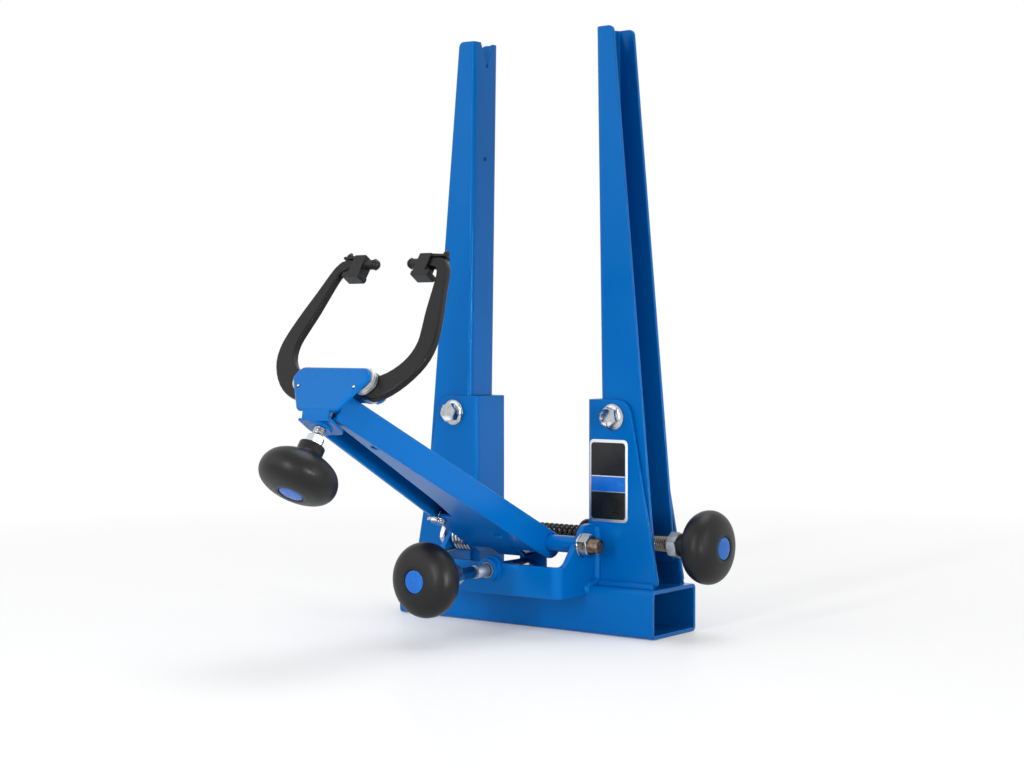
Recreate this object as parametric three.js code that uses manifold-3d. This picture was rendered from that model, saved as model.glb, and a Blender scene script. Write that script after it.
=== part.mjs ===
// Bicycle wheel truing stand: a base tube, two hinged uprights that a left and right handed screw
// opens and closes together, and a lift arm whose two jaws close round the rim.
// Millimetres. +Z up, +X towards the spread knob, -Y to the front. The origin is the centre of the
// base tube's bottom face.

import * as THREE from 'three';
import { mergeVertices } from 'three/addons/utils/BufferGeometryUtils.js';
import Module from 'manifold-3d';

const wasm = await Module();
wasm.setup();

// Clearances and finish
const seatGap = 0.3; // between pieces that rest on each other
const runGap = 0.3; // radial, round a turning or sliding shaft
const overrun = 2; // how far a cutting tool runs past a face
const fewestSides = 12; // of a small round piece
const extraSides = 20; // that the largest round piece has on top of them
const curveSteps = 8; // along each rounded corner of an outline
const rockerSteps = 10;
const jawSteps = 25; // along each edge of a jaw
const pillowSteps = 4; // round the head plate's edge
const wireSides = 5;
const stepsPerTurn = 8; // of a coil

// Base tube
const baseLength = 255.6;
const baseDepth = 63.5;
const baseHeight = 38.1;
const baseWall = 3.2;
const baseCornerRadius = 4.5;

// Brackets, the channels that stand on the base tube
const bracketMiddleY = 3.3; // the brackets sit a little behind the tube's middle
const bracketGap = 112; // between the inner faces of the two webs
const bracketHeight = 146.6; // above the base tube
const bracketDepth = 40.2; // over both flanges
const bracketWall = 3.2;
const bracketBend = 4.5;
const bracketTopWidth = 39.5;
const bracketFootWidth = 67.3;
const bracketShoulderRadius = 15;
const bracketToeRadius = 5;

// Uprights, the tapered channels that carry the axle
const uprightAboveHinge = 309.4;
const uprightAboveBase = 16.7; // clearance under the upright's foot
const uprightTopWidth = 16.4;
const uprightFootWidth = 49;
const uprightDepth = 32.2;
const uprightWall = 3;
const uprightBend = 4.5;
const uprightTopRadius = 5.5;
const uprightLeanDegrees = 0.965; // inwards, in the photographed position
const notchWidth = 16.4;
const notchDepth = 19.5;
const notchReliefRadius = 1.6;
const notchMiddleY = 1.2; // behind the upright's own middle
const sightHoleRadius = 2;
const sightHoleBelowTop = 97;

// Hinge bolts of the uprights
const hingeX = 80.5;
const hingeBelowBracketTop = 13.9;
const hingeInsideWeb = 14.3; // from the hinge to the inner face of the upright's web
const boltRadius = 4.7;
const boltFlangeRadius = 10.6;
const boltFlangeThickness = 2.2;
const boltHexFlats = 14.3;
const boltHexHeight = 6.2;
const weldNutFlats = 15.5;
const weldNutHeight = 7;

// Spread screw and what is on it
const spreadAboveBase = 32.9;
const spreadScrewRadius = 6.1;
const spreadScrewLeftEnd = 96; // left of the middle
const spreadNutRadius = 11;
const spreadNutFlangeRadius = 15.6;
const spreadNutFlangeThickness = 3;
const spreadSeatX = 41; // inboard face of each seat
const spreadCollarRadius = 12.6;
const spreadCollarThickness = 5;
const spreadSpigotRadius = 8.5;
const rockerRadius = 40; // of the rounded faces on which the upright's web rocks
const spreadHoleRadius = 10; // in the upright's web
const spreadNutFaceRadius = 13; // of the nut's rocking end
const bracketBoreRadius = 13.6; // clears the nut's rocking end as the stand opens
const spreadJamNutFlats = 19;
const spreadJamNutThickness = 9.7;
const spreadEndNutThickness = 6;
const spreadKnobX = 127.3; // where the knob's neck starts
const springCoilRadius = 9;
const springWire = 2.5;
const springTurns = 16;

// Knobs, all three alike
const knobRadius = 29.3;
const knobLength = 44;
const knobNeckRadius = 9.6;
const knobNeckLength = 12; // the neck is straight up to here
const knobBoreDepth = 20;
const knobFaceRadius = 11.4;
const knobFaceDepth = 1.3;
const capThickness = 1.2;

// Pivot yoke
const yokeFrontY = -70;
const yokeWidth = 131.2;
const yokePlate = 5;
const yokeBend = 8;
const yokeBottomAboveFloor = 30.5;
const yokeFrontHeight = 24.8;
const yokeEarHeight = 55.8;
const yokeEarRadius = 9;
const yokeFilletRadius = 11;
const yokeShoulderBack = 46; // from the front face back to where the ear reaches its full height
const yokeBossRadius = 11; // of the rise round the lift screw
const yokeRingRadius = 9.5;
const yokeRingProud = 6;

// Pivot rod
const pivotY = -38;
const pivotZ = 70.5;
const rodRadius = 6.7;
const rodEndRadius = 6.3;
const rodOverhang = 17.8; // past the right ear's outer face
const rodLeftOverhang = 6.4; // past the left one
const rodNutFlats = 17;
const rodNutThickness = 9.6;
const rodLeftNutThickness = 5.4;
const rodWasherRadius = 9.6;
const rodWasherThickness = 1.6;

// Lift screw
const liftScrewZ = 49.8;
const liftScrewRadius = 5.3;
const liftTipY = -15.2;
const liftTipRadius = 2.2; // small, so that the tab can tilt on it
const liftTipCone = 4;
const liftKnobY = -121; // where the knob's neck starts
const liftBushRadius = 6.3;
const liftBushProud = 11;
const liftJamNutFlats = 16;
const liftJamNutThickness = 7;

// Lift arm, drawn level in its own frame, and raised to its angle
const armAngleDegrees = 27.35;
const armLength = 252;
const armBack = 12.3; // the lobes' radius, and how far the underside lies below the pivot
const armTop = 9.5; // above the pivot
const armPivotHalfWidth = 36;
const armHeadHalfWidth = 16.9;
const armWall = 3;
const armLipInner = 12.6; // half-distance of the right lip's edge at the head
const armSlotEnd = 72; // along the arm, where the underside closes
const armSlotStep = 6.5; // from the middle to the step in the slot's end
const armFloorEnd = 11; // along the arm, where the closed underside ends
const armFloorMid = 113; // along the arm, where the lip reaches the middle
const armWebStart = 15; // along the arm, where the top web starts
const armHoleRadius = 3.2;
const armHoleFromEnd = 45.5;
const pivotHoleAlong = 40.5; // the second hole, near the pivot
const pivotHoleX = 14.3;
const tabHalfWidth = 13;
const tabPlate = 3.2;
const tabBottomZ = 46.8;
const anchorAlong = 76;
const anchorRadius = 6.4;
const anchorThickness = 3.6;
const returnCoilRadius = 10.6;
const returnWire = 2.6;
const returnTurns = 5;
const returnPitch = 3.5;

// Head, in a frame of its own whose origin lies midway between the jaws' pivots
const headFromArmEnd = 7.5; // back along the arm, to the jaws' pivots
const headAbove = 19;
const headLeanDegrees = 6.65; // of the head's plane to the arm's
const jawPivotHalf = 28.3;
const headPlate = 3;
const headFront = 12; // of the front plate, before the jaws' middle plane
const headTop = 8.4;
const headBottom = -28.1;
const headTopHalfWidth = 33;
const headHalfWidth = 36.6;
const headBottomHalfWidth = 19;
const headShoulder = -1; // where the sides start to slope in
const headCornerRadius = 8;
const headFootRadius = 6;
const headEdgeInset = 3.4; // of the rounded edge, across the plate
const headEdgeDepth = 2; // and through it
const headApronTop = -27.4;
const headApronHalfWidth = 12.5;
const headApronLean = 3.6; // its foot lies this far behind its top
const headShelfTop = -32.9; // just below the arm's underside
const headShelfDepth = 19.4;
const headShelfHalfWidth = 16;
const headShelfPlate = 2;
const screwBossRadius = 8.6;
const screwBossHeight = 2;
const rearPlateHalfWidth = 37;
const rearPlateCorner = 6;
const rearPlateFoot = 7.4; // below the jaws' pivots, just above the arm
const rivetHalf = 26.6;
const rivetBelow = 8.2;
const rivetRadius = 1.2;
const rivetProud = 0.7;

// Jaws
const jawThickness = 6;
const jawHeight = 122.8;
const jawReach = 73.4;
const jawBelowPivot = 12.6;
const jawBoreRadius = 4.5;
const jawEyeRadius = 10.5;
const tailEnd = 4.6;
const tailHeight = 8;
const tailNeck = 5.4; // height of the tail behind its round end
const jawStudRadius = 4.2;
const jawNutFlats = 13;
const jawNutThickness = 6;
const spacerRadius = 10;
const tipNoseAbove = 106.6; // the nose's middle above the jaws' pivots
const tipNoseRadius = 3.8;
const tipNoseReach = 13.9; // from the middle to the nose's end
const tipBlockInner = 26;
const tipBlockOuter = 37;
const tipBlockTop = 112.5;
const tipLipInner = 25;
const tipLipOuter = 42;
const tipLipFoot = 92.8;
const tipLipTop = 97.5;
const tipLipRound = 2;
const tipBlockDepth = 10;
const tipStrapEnd = 49.5;
const tipStrapHeight = 2;
const tipStrapDepth = 7;
const tipScrewX = 46.8;
const tipScrewRadius = 2.4;
const tipScrewLength = 5;

// Jaw screw
const jawScrewRadius = 4.1;
const jawCoreRadius = 3.2;
const spoolRadius = 8.4;
const spoolClearance = 1; // round the spool, where the arm's web is cut away
const spoolDisc = 2.2;
const jawKnobBelow = 46.6; // the knob's neck below the pivots
const jawJamNutFlats = 10.8;
const jawJamNutThickness = 5.4;

// Label
const labelWidth = 35.7;
const labelHeight = 64;
const labelThickness = 0.8;
const labelCornerRadius = 4;
const labelBelowBracketTop = 31.6;
const labelInset = 3.2;

// Places worked out from the sizes above
const bracketInnerX = bracketGap / 2;
const bracketOuterX = bracketInnerX + bracketWall;
const bracketFrontY = bracketMiddleY - bracketDepth / 2;
const bracketRearY = bracketMiddleY + bracketDepth / 2;
const hingeAboveBase = bracketHeight - hingeBelowBracketTop;
const hingeZ = baseHeight + hingeAboveBase;
const uprightBelowHinge = hingeAboveBase - uprightAboveBase;
const spreadZ = baseHeight + spreadAboveBase;
const spreadBelowHinge = hingeZ - spreadZ;
const uprightLean = THREE.MathUtils.degToRad(uprightLeanDegrees);
const armAngle = THREE.MathUtils.degToRad(armAngleDegrees);
const headLean = THREE.MathUtils.degToRad(headLeanDegrees);
const webAtHinge = hingeX - hingeInsideWeb / Math.cos(uprightLean);
const webAtSpread = webAtHinge + spreadBelowHinge * Math.tan(uprightLean);
const yokeOuterX = yokeWidth / 2;
const yokeInnerX = yokeOuterX - yokePlate;
const yokeBackY = yokeFrontY + yokePlate;
const armHoleAlong = armLength - armHoleFromEnd;
const headAlong = armLength - headFromArmEnd;
const armTaper = (armPivotHalfWidth - armHeadHalfWidth) / armLength;
const jawTopZ = jawHeight - jawBelowPivot;

// The number of sides of a round piece
function sides(radius) {
	return fewestSides + 2 * Math.round(extraSides * radius / knobRadius / 2);
}

// A closed three.js geometry as a solid
function solid(geometry) {
	const bare = geometry.clone();
	bare.deleteAttribute('normal');
	bare.deleteAttribute('uv');
	const merged = mergeVertices(bare);
	return new wasm.Manifold(new wasm.Mesh({
		numProp: 3,
		vertProperties: new Float32Array(merged.attributes.position.array),
		triVerts: new Uint32Array(merged.index.array),
	}));
}

// A solid as a three.js geometry
function geometryOf(body) {
	const mesh = body.getMesh();
	const geometry = new THREE.BufferGeometry();
	geometry.setAttribute('position', new THREE.BufferAttribute(mesh.vertProperties, 3));
	geometry.setIndex(new THREE.BufferAttribute(mesh.triVerts, 1));
	const flat = geometry.toNonIndexed();
	flat.computeVertexNormals();
	return flat;
}

const axisX = new THREE.Vector3(1, 0, 0);
const axisY = new THREE.Vector3(0, 1, 0);
const axisZ = new THREE.Vector3(0, 0, 1);

function extruded(shape, depth) {
	return new THREE.ExtrudeGeometry(shape, { depth, bevelEnabled: false, curveSegments: curveSteps });
}

// An outline drawn in (y, z), pushed out along X
function alongX(shape, from, to) {
	const geometry = extruded(shape, to - from);
	geometry.applyMatrix4(new THREE.Matrix4().makeBasis(axisY, axisZ, axisX));
	geometry.translate(from, 0, 0);
	return solid(geometry);
}

// An outline drawn in (x, z), pushed out along Y
function alongY(shape, from, to) {
	const geometry = extruded(shape, to - from);
	geometry.applyMatrix4(new THREE.Matrix4().makeBasis(axisX, axisZ, axisY.clone().negate()));
	geometry.translate(0, to, 0);
	return solid(geometry);
}

// An outline drawn in (x, y), pushed out along Z
function alongZ(shape, from, to) {
	const geometry = extruded(shape, to - from);
	geometry.translate(0, 0, from);
	return solid(geometry);
}

// An outline from a list of [a, b] points
function polygon(points) {
	return new THREE.Shape(points.map(([a, b]) => new THREE.Vector2(a, b)));
}

function rectangle(a0, b0, a1, b1) {
	return polygon([[a0, b0], [a1, b0], [a1, b1], [a0, b1]]);
}

// An outline from corners [a, b, radius], each rounded by its own radius
function rounded(corners) {
	const shape = new THREE.Shape();
	const count = corners.length;
	corners.forEach(([a, b, radius = 0], i) => {
		const here = new THREE.Vector2(a, b);
		const before = new THREE.Vector2(...corners[(i + count - 1) % count]);
		const after = new THREE.Vector2(...corners[(i + 1) % count]);
		const toBefore = before.sub(here);
		const toAfter = after.sub(here);
		const half = Math.acos(toBefore.dot(toAfter) / (toBefore.length() * toAfter.length())) / 2;
		const cut = radius / Math.tan(half);
		const start = here.clone().add(toBefore.setLength(cut));
		const end = here.clone().add(toAfter.setLength(cut));
		if (i === 0) shape.moveTo(start.x, start.y);
		else shape.lineTo(start.x, start.y);
		if (radius > 0) shape.quadraticCurveTo(here.x, here.y, end.x, end.y);
	});
	shape.closePath();
	return shape;
}

// A round bar along one of the axes
function bar(axis, radius, from, to, a = 0, b = 0) {
	const geometry = new THREE.CylinderGeometry(radius, radius, to - from, sides(radius));
	const middle = (from + to) / 2;
	if (axis === 'x') geometry.rotateZ(Math.PI / 2).translate(middle, a, b);
	if (axis === 'y') geometry.translate(a, middle, b);
	if (axis === 'z') geometry.rotateX(Math.PI / 2).translate(a, b, middle);
	return solid(geometry);
}

// A turned piece from a profile of [radius, place along the axis]; the profile runs from low to high
function turned(axis, profile, a = 0, b = 0) {
	const largest = Math.max(...profile.map(([radius]) => radius));
	const points = profile.map(([radius, along]) => new THREE.Vector2(radius, along));
	const geometry = new THREE.LatheGeometry(points, sides(largest));
	if (axis === 'x') geometry.rotateZ(-Math.PI / 2).translate(0, a, b);
	if (axis === 'y') geometry.translate(a, 0, b);
	if (axis === 'z') geometry.rotateX(Math.PI / 2).translate(a, b, 0);
	return solid(geometry);
}

// A hexagon by its width across flats
function hexagon(flats, a = 0, b = 0, turn = 0) {
	const corner = flats / Math.sqrt(3);
	const points = [];
	for (let i = 0; i < 6; i++) {
		const angle = turn + i * Math.PI / 3;
		points.push([a + corner * Math.cos(angle), b + corner * Math.sin(angle)]);
	}
	return polygon(points);
}

const root = new THREE.Group();

// Adds a solid to a group as a named mesh
function add(group, name, body, material) {
	const mesh = new THREE.Mesh(geometryOf(body), material);
	mesh.name = name;
	group.add(mesh);
}

// Finishes
function finish(color, roughness, metalness) {
	return new THREE.MeshStandardMaterial({ color, roughness, metalness });
}
const bluePaint = finish(0x0a5aa8, 0.42, 0.1);
const zincPlate = finish(0xc4c8cc, 0.3, 0.9);
const bareSteel = finish(0x6e625a, 0.4, 0.9);
const blackSteel = finish(0x2a2a2b, 0.5, 0.6);
const blackPlastic = finish(0x222223, 0.55, 0);
const blueCap = finish(0x1763b0, 0.4, 0);
const labelFace = finish(0x15171a, 0.4, 0.1);

// The two sides of the stand: the left one is the right one mirrored
const sideNames = ['right', 'left'];
const sideGroups = sideNames.map((name) => {
	const group = new THREE.Group();
	group.scale.set(name === 'right' ? 1 : -1, 1, 1);
	root.add(group);
	return group;
});

function makeBaseTube() {
	const outer = roundedBox(baseDepth, baseHeight, 0, baseCornerRadius);
	const innerDepth = baseDepth - 2 * baseWall;
	const innerHeight = baseHeight - 2 * baseWall;
	const inner = roundedBox(innerDepth, innerHeight, baseWall, baseCornerRadius - baseWall);
	const tube = alongX(outer, -baseLength / 2, baseLength / 2);
	return tube.subtract(alongX(inner, -baseLength / 2 - overrun, baseLength / 2 + overrun));
}

function roundedBox(depth, height, bottom, radius) {
	return rounded([
		[-depth / 2, bottom, radius],
		[depth / 2, bottom, radius],
		[depth / 2, bottom + height, radius],
		[-depth / 2, bottom + height, radius],
	]);
}

// A channel section in (x, y): its web's outer face is at webX, and its flanges point to +X
function channel(webX, reach, depth, wall, bend, middleY) {
	const front = middleY - depth / 2;
	const rear = middleY + depth / 2;
	const outer = rounded([
		[webX, front, bend],
		[webX + reach, front],
		[webX + reach, rear],
		[webX, rear, bend],
	]);
	const inner = rounded([
		[webX + wall, front + wall, bend - wall],
		[webX + reach + overrun, front + wall],
		[webX + reach + overrun, rear - wall],
		[webX + wall, rear - wall, bend - wall],
	]);
	return { outer, inner };
}

// A bracket, seen from the front: a straight inner edge, a sloping outer one, and a round shoulder
function makeBracket() {
	const foot = baseHeight + seatGap;
	const top = baseHeight + bracketHeight;
	const section = channel(bracketInnerX, bracketFootWidth, bracketDepth,
		bracketWall, bracketBend, bracketMiddleY);
	const outline = rounded([
		[bracketInnerX, foot],
		[bracketInnerX + bracketFootWidth, foot, bracketToeRadius],
		[bracketInnerX + bracketTopWidth, top, bracketShoulderRadius],
		[bracketInnerX, top],
	]);
	const reach = bracketDepth + overrun;
	return alongZ(section.outer, foot, top)
		.subtract(alongZ(section.inner, foot - overrun, top + overrun))
		.intersect(alongY(outline, bracketMiddleY - reach, bracketMiddleY + reach))
		.subtract(bar('y', boltRadius + runGap, -reach, reach + bracketMiddleY, hingeX, hingeZ))
		.subtract(bar('x', bracketBoreRadius, bracketInnerX - overrun, bracketOuterX + overrun,
			bracketMiddleY, spreadZ));
}

// An upright in the frame of its hinge: the web is square to X, and the wide end is below
function makeUpright() {
	const web = -hingeInsideWeb;
	const section = channel(web, uprightFootWidth, uprightDepth, uprightWall, uprightBend, 0);
	const outline = rounded([
		[web, -uprightBelowHinge],
		[web + uprightFootWidth, -uprightBelowHinge, uprightTopRadius],
		[web + uprightTopWidth, uprightAboveHinge, uprightTopRadius],
		[web, uprightAboveHinge],
	]);
	const reach = uprightDepth + overrun;
	const webFrom = web - overrun;
	const webTo = web + uprightWall + overrun;
	const top = uprightAboveHinge + overrun;
	const notchFloor = uprightAboveHinge - notchDepth;
	const notchSlope = (notchWidth / 2) / notchDepth;
	const notch = polygon([
		[notchMiddleY, notchFloor],
		[notchMiddleY + notchSlope * (notchDepth + overrun), top],
		[notchMiddleY - notchSlope * (notchDepth + overrun), top],
	]);
	const spreadHoleZ = -(spreadBelowHinge - (hingeInsideWeb - uprightWall / 2) * Math.sin(uprightLean));
	return alongZ(section.outer, -uprightBelowHinge, uprightAboveHinge)
		.subtract(alongZ(section.inner, -uprightBelowHinge - overrun, top))
		.intersect(alongY(outline, -reach, reach))
		.subtract(alongX(notch, webFrom, webTo))
		.subtract(bar('x', notchReliefRadius, webFrom, webTo, notchMiddleY, notchFloor))
		.subtract(bar('x', sightHoleRadius, webFrom, webTo, 0, uprightAboveHinge - sightHoleBelowTop))
		.subtract(bar('x', spreadHoleRadius, webFrom, webTo, 0, spreadHoleZ))
		.subtract(bar('y', boltRadius + runGap, -reach, reach));
}

// A flanged bolt whose head points to -Y; its seat is at y = 0
function makeFlangeBolt(shank) {
	const head = boltFlangeThickness + boltHexHeight;
	const flange = turned('y', [
		[0, -boltFlangeThickness],
		[boltFlangeRadius - boltFlangeThickness / 2, -boltFlangeThickness],
		[boltFlangeRadius, -boltFlangeThickness / 2],
		[boltFlangeRadius, 0],
		[0, 0],
	]);
	return flange
		.add(alongY(hexagon(boltHexFlats), -head, -boltFlangeThickness / 2))
		.add(bar('y', boltRadius, -boltFlangeThickness / 2, shank));
}

// The nut welded inside an upright's flange; its seat is at y = 0 and it stands towards +Y
function makeWeldNut() {
	return alongY(hexagon(weldNutFlats), 0, weldNutHeight)
		.subtract(bar('y', boltRadius + runGap, -overrun, weldNutHeight + overrun));
}

// A round-faced block that the upright's web rocks on: the part of a disc behind an arc
function rocker(face, thickness, direction) {
	const half = spreadCollarRadius + overrun;
	const arcHalf = Math.asin(half / rockerRadius);
	const shape = new THREE.Shape();
	for (let i = 0; i <= rockerSteps; i++) {
		const angle = arcHalf * (2 * i / rockerSteps - 1);
		const x = face - direction * rockerRadius * (1 - Math.cos(angle));
		const z = spreadZ + rockerRadius * Math.sin(angle);
		if (i === 0) shape.moveTo(x, z);
		else shape.lineTo(x, z);
	}
	const back = face - direction * (thickness + overrun);
	shape.lineTo(back, spreadZ + half);
	shape.lineTo(back, spreadZ - half);
	shape.closePath();
	return alongY(shape, bracketMiddleY - half, bracketMiddleY + half);
}

// A round bar on the spread screw's axis
function spreadBar(radius, from, to) {
	return bar('x', radius, from, to, bracketMiddleY, spreadZ);
}

// A spread nut: a flange that the spring seats on, a barrel through bracket and web, and a rocking face
function makeSpreadNut() {
	const webInner = webAtSpread - seatGap;
	const faceFrom = webInner - spreadNutFlangeThickness;
	const end = webAtSpread + uprightWall + seatGap + spreadCollarThickness;
	const seatTo = spreadSeatX + spreadNutFlangeThickness;
	const faceDisc = spreadBar(spreadNutFaceRadius, faceFrom, webInner)
		.intersect(rocker(webInner, spreadNutFlangeThickness, 1));
	return spreadBar(spreadNutRadius, spreadSeatX + overrun, faceFrom + overrun / 2)
		.add(spreadBar(spreadNutFlangeRadius, spreadSeatX, seatTo))
		.add(faceDisc)
		.add(spreadBar(spreadSpigotRadius, faceFrom, end))
		.subtract(spreadBar(spreadScrewRadius + runGap, spreadSeatX - overrun, end + overrun));
}

function makeSpreadCollar() {
	const webOuter = webAtSpread + uprightWall + seatGap;
	const end = webOuter + spreadCollarThickness;
	return spreadBar(spreadCollarRadius, webOuter, end)
		.intersect(rocker(webOuter, spreadCollarThickness, -1))
		.subtract(spreadBar(spreadSpigotRadius + runGap, webOuter - overrun, end + overrun));
}

// A hexagon nut on X, with a bore
function makeNutX(flats, from, to, bore, y, z) {
	return alongX(hexagon(flats, y, z, Math.PI / 6), from, to)
		.subtract(bar('x', bore, from - overrun, to + overrun, y, z));
}

// The knobs' outline as [share of the knob's radius, share of its length beyond the neck]
const knobShares = [
	[0.43, 0.05],
	[0.61, 0.09],
	[0.84, 0.22],
	[0.956, 0.37],
	[1, 0.53],
	[0.976, 0.69],
	[0.87, 0.83],
	[0.68, 0.93],
	[0.45, 0.985],
];

// A knob whose neck starts at 0 and whose face looks to +Y of its own frame
function makeKnob(axis, bore, a, b, from, direction) {
	const body = knobLength - knobNeckLength;
	const profile = [
		[0, knobBoreDepth],
		[bore, knobBoreDepth],
		[bore, 0],
		[knobNeckRadius - runGap, 0],
		[knobNeckRadius, 2 * runGap],
		[knobNeckRadius, knobNeckLength],
		...knobShares.map(([r, s]) => [r * knobRadius, knobNeckLength + s * body]),
		[knobFaceRadius, knobLength],
		[knobFaceRadius, knobLength - knobFaceDepth],
		[0, knobLength - knobFaceDepth],
	];
	return placedTurning(axis, profile, a, b, from, direction);
}

function makeCap(axis, a, b, from, direction) {
	const seat = knobLength - knobFaceDepth + seatGap;
	const radius = knobFaceRadius - seatGap;
	const profile = [
		[0, seat],
		[radius, seat],
		[radius, seat + capThickness / 2],
		[0, seat + capThickness],
	];
	return placedTurning(axis, profile, a, b, from, direction);
}

// Turns a profile that is given from a neck outwards, along either way of an axis
function placedTurning(axis, profile, a, b, from, direction) {
	const placed = profile.map(([radius, along]) => [radius, from + direction * along]);
	if (direction < 0) placed.reverse();
	return turned(axis, placed, a, b);
}

// One unbroken wire along points, as a tube
function wireAlong(points, radius) {
	const vertices = [];
	const frameUp = new THREE.Vector3();
	const side = new THREE.Vector3();
	let up = null;
	points.forEach((point, i) => {
		const before = points[Math.max(i - 1, 0)];
		const after = points[Math.min(i + 1, points.length - 1)];
		const tangent = after.clone().sub(before).normalize();
		if (up === null) {
			up = new THREE.Vector3(tangent.y, tangent.z, tangent.x).cross(tangent).normalize();
		}
		frameUp.copy(up).addScaledVector(tangent, -up.dot(tangent)).normalize();
		up = frameUp.clone();
		side.crossVectors(tangent, up);
		for (let k = 0; k < wireSides; k++) {
			const angle = 2 * Math.PI * k / wireSides;
			vertices.push(point.clone()
				.addScaledVector(up, radius * Math.cos(angle))
				.addScaledVector(side, radius * Math.sin(angle)));
		}
	});
	const triangles = [];
	const last = points.length - 1;
	for (let i = 0; i < last; i++) {
		for (let k = 0; k < wireSides; k++) {
			const a = i * wireSides + k;
			const b = i * wireSides + (k + 1) % wireSides;
			triangles.push(a, b, b + wireSides, a, b + wireSides, a + wireSides);
		}
	}
	for (let k = 1; k < wireSides - 1; k++) {
		triangles.push(0, k + 1, k);
		triangles.push(last * wireSides, last * wireSides + k, last * wireSides + k + 1);
	}
	const geometry = new THREE.BufferGeometry();
	geometry.setAttribute('position', new THREE.BufferAttribute(
		new Float32Array(vertices.flatMap((v) => v.toArray())), 3));
	geometry.setIndex(triangles);
	return geometry;
}

// Points of a coil round X
function coilPoints(radius, fromX, toX, turns, y, z, startAngle) {
	const steps = Math.round(turns * stepsPerTurn);
	const points = [];
	for (let i = 0; i <= steps; i++) {
		const share = i / steps;
		const angle = startAngle + 2 * Math.PI * turns * share;
		points.push(new THREE.Vector3(fromX + (toX - fromX) * share,
			y + radius * Math.cos(angle), z + radius * Math.sin(angle)));
	}
	return points;
}

// The least distance between the wire's surfaces where it passes itself, measured on its points
function printLeastGap(name, points, wire, skip) {
	let least = Infinity;
	for (let i = 0; i < points.length; i++) {
		for (let j = i + skip; j < points.length; j++) {
			least = Math.min(least, points[i].distanceTo(points[j]) - wire);
		}
	}
	console.log(`${name}: least gap to itself ${least.toFixed(2)} mm`);
}

function addWire(group, name, points, wire, material) {
	const mesh = new THREE.Mesh(wireAlong(points, wire / 2), material);
	mesh.name = name;
	group.add(mesh);
	printLeastGap(name, points, wire, 5);
}

// The yoke's ear, seen from the side in (y, z)
function makeEarOutline() {
	const bottom = yokeBottomAboveFloor;
	const seatY = bracketFrontY - seatGap;
	const tubeFront = -baseDepth / 2 - seatGap;
	const tubeTop = baseHeight + seatGap;
	const shoulderY = yokeFrontY + yokeShoulderBack;
	return rounded([
		[yokeFrontY, bottom],
		[tubeFront, bottom],
		[tubeFront, tubeTop, baseCornerRadius],
		[seatY, tubeTop],
		[seatY, bottom + yokeEarHeight - runGap],
		[shoulderY - yokeEarRadius, bottom + yokeEarHeight, yokeEarRadius],
		[yokeFrontY + yokeFilletRadius, bottom + yokeFrontHeight, yokeFilletRadius],
		[yokeFrontY, bottom + yokeFrontHeight],
	]);
}

function makeYoke() {
	const bottom = yokeBottomAboveFloor;
	const top = bottom + yokeEarHeight;
	const outer = rounded([
		[-yokeOuterX, yokeFrontY, yokeBend],
		[yokeOuterX, yokeFrontY, yokeBend],
		[yokeOuterX, bracketFrontY - seatGap],
		[-yokeOuterX, bracketFrontY - seatGap],
	]);
	const inner = rounded([
		[-yokeInnerX, yokeBackY, yokeBend - yokePlate],
		[yokeInnerX, yokeBackY, yokeBend - yokePlate],
		[yokeInnerX, bracketFrontY + overrun],
		[-yokeInnerX, bracketFrontY + overrun],
	]);
	const reach = yokeOuterX + overrun;
	return alongZ(outer, bottom, top + overrun)
		.subtract(alongZ(inner, bottom - overrun, top + 2 * overrun))
		.intersect(alongX(makeEarOutline(), -reach, reach))
		.add(bar('y', yokeBossRadius, yokeFrontY, yokeBackY, 0, liftScrewZ))
		.add(bar('y', yokeRingRadius, yokeFrontY - yokeRingProud, yokeBackY, 0, liftScrewZ))
		.subtract(bar('y', liftBushRadius + seatGap, yokeFrontY - yokeRingProud - overrun, yokeBackY + overrun,
			0, liftScrewZ))
		.subtract(bar('x', rodRadius + seatGap, -reach, reach, pivotY, pivotZ));
}

function makePivotRod() {
	const end = yokeOuterX + rodOverhang;
	const leftEnd = -yokeOuterX - rodLeftOverhang;
	const chamfer = rodRadius - rodEndRadius;
	return turned('x', [
		[0, leftEnd],
		[rodEndRadius - chamfer, leftEnd],
		[rodEndRadius, leftEnd + chamfer],
		[rodEndRadius, -yokeOuterX],
		[rodRadius, -yokeOuterX],
		[rodRadius, yokeOuterX],
		[rodEndRadius, yokeOuterX],
		[rodEndRadius, end - chamfer],
		[rodEndRadius - chamfer, end],
		[0, end],
	], pivotY, pivotZ);
}

// A nut with a washer face against the ear
function makeRodNut(thickness) {
	const seat = yokeOuterX + seatGap;
	const face = seat + rodWasherThickness;
	const end = seat + thickness;
	return alongX(hexagon(rodNutFlats, pivotY, pivotZ, 0), face - rodWasherThickness / 2, end)
		.add(bar('x', rodWasherRadius, seat, face, pivotY, pivotZ))
		.subtract(bar('x', rodEndRadius + runGap, seat - overrun, end + overrun, pivotY, pivotZ));
}

// The lift arm in its own frame: x across, -y along it from the pivot, z square to its underside
function armHalfWidth(along) {
	return armPivotHalfWidth - armTaper * along;
}

// The arm's tapered plan between two places along it, drawn in by an inset each side
function armPlan(inset, low, high) {
	return polygon([
		[armHalfWidth(low) - inset, -low],
		[inset - armHalfWidth(low), -low],
		[inset - armHalfWidth(high), -high],
		[armHalfWidth(high) - inset, -high],
	]);
}

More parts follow.
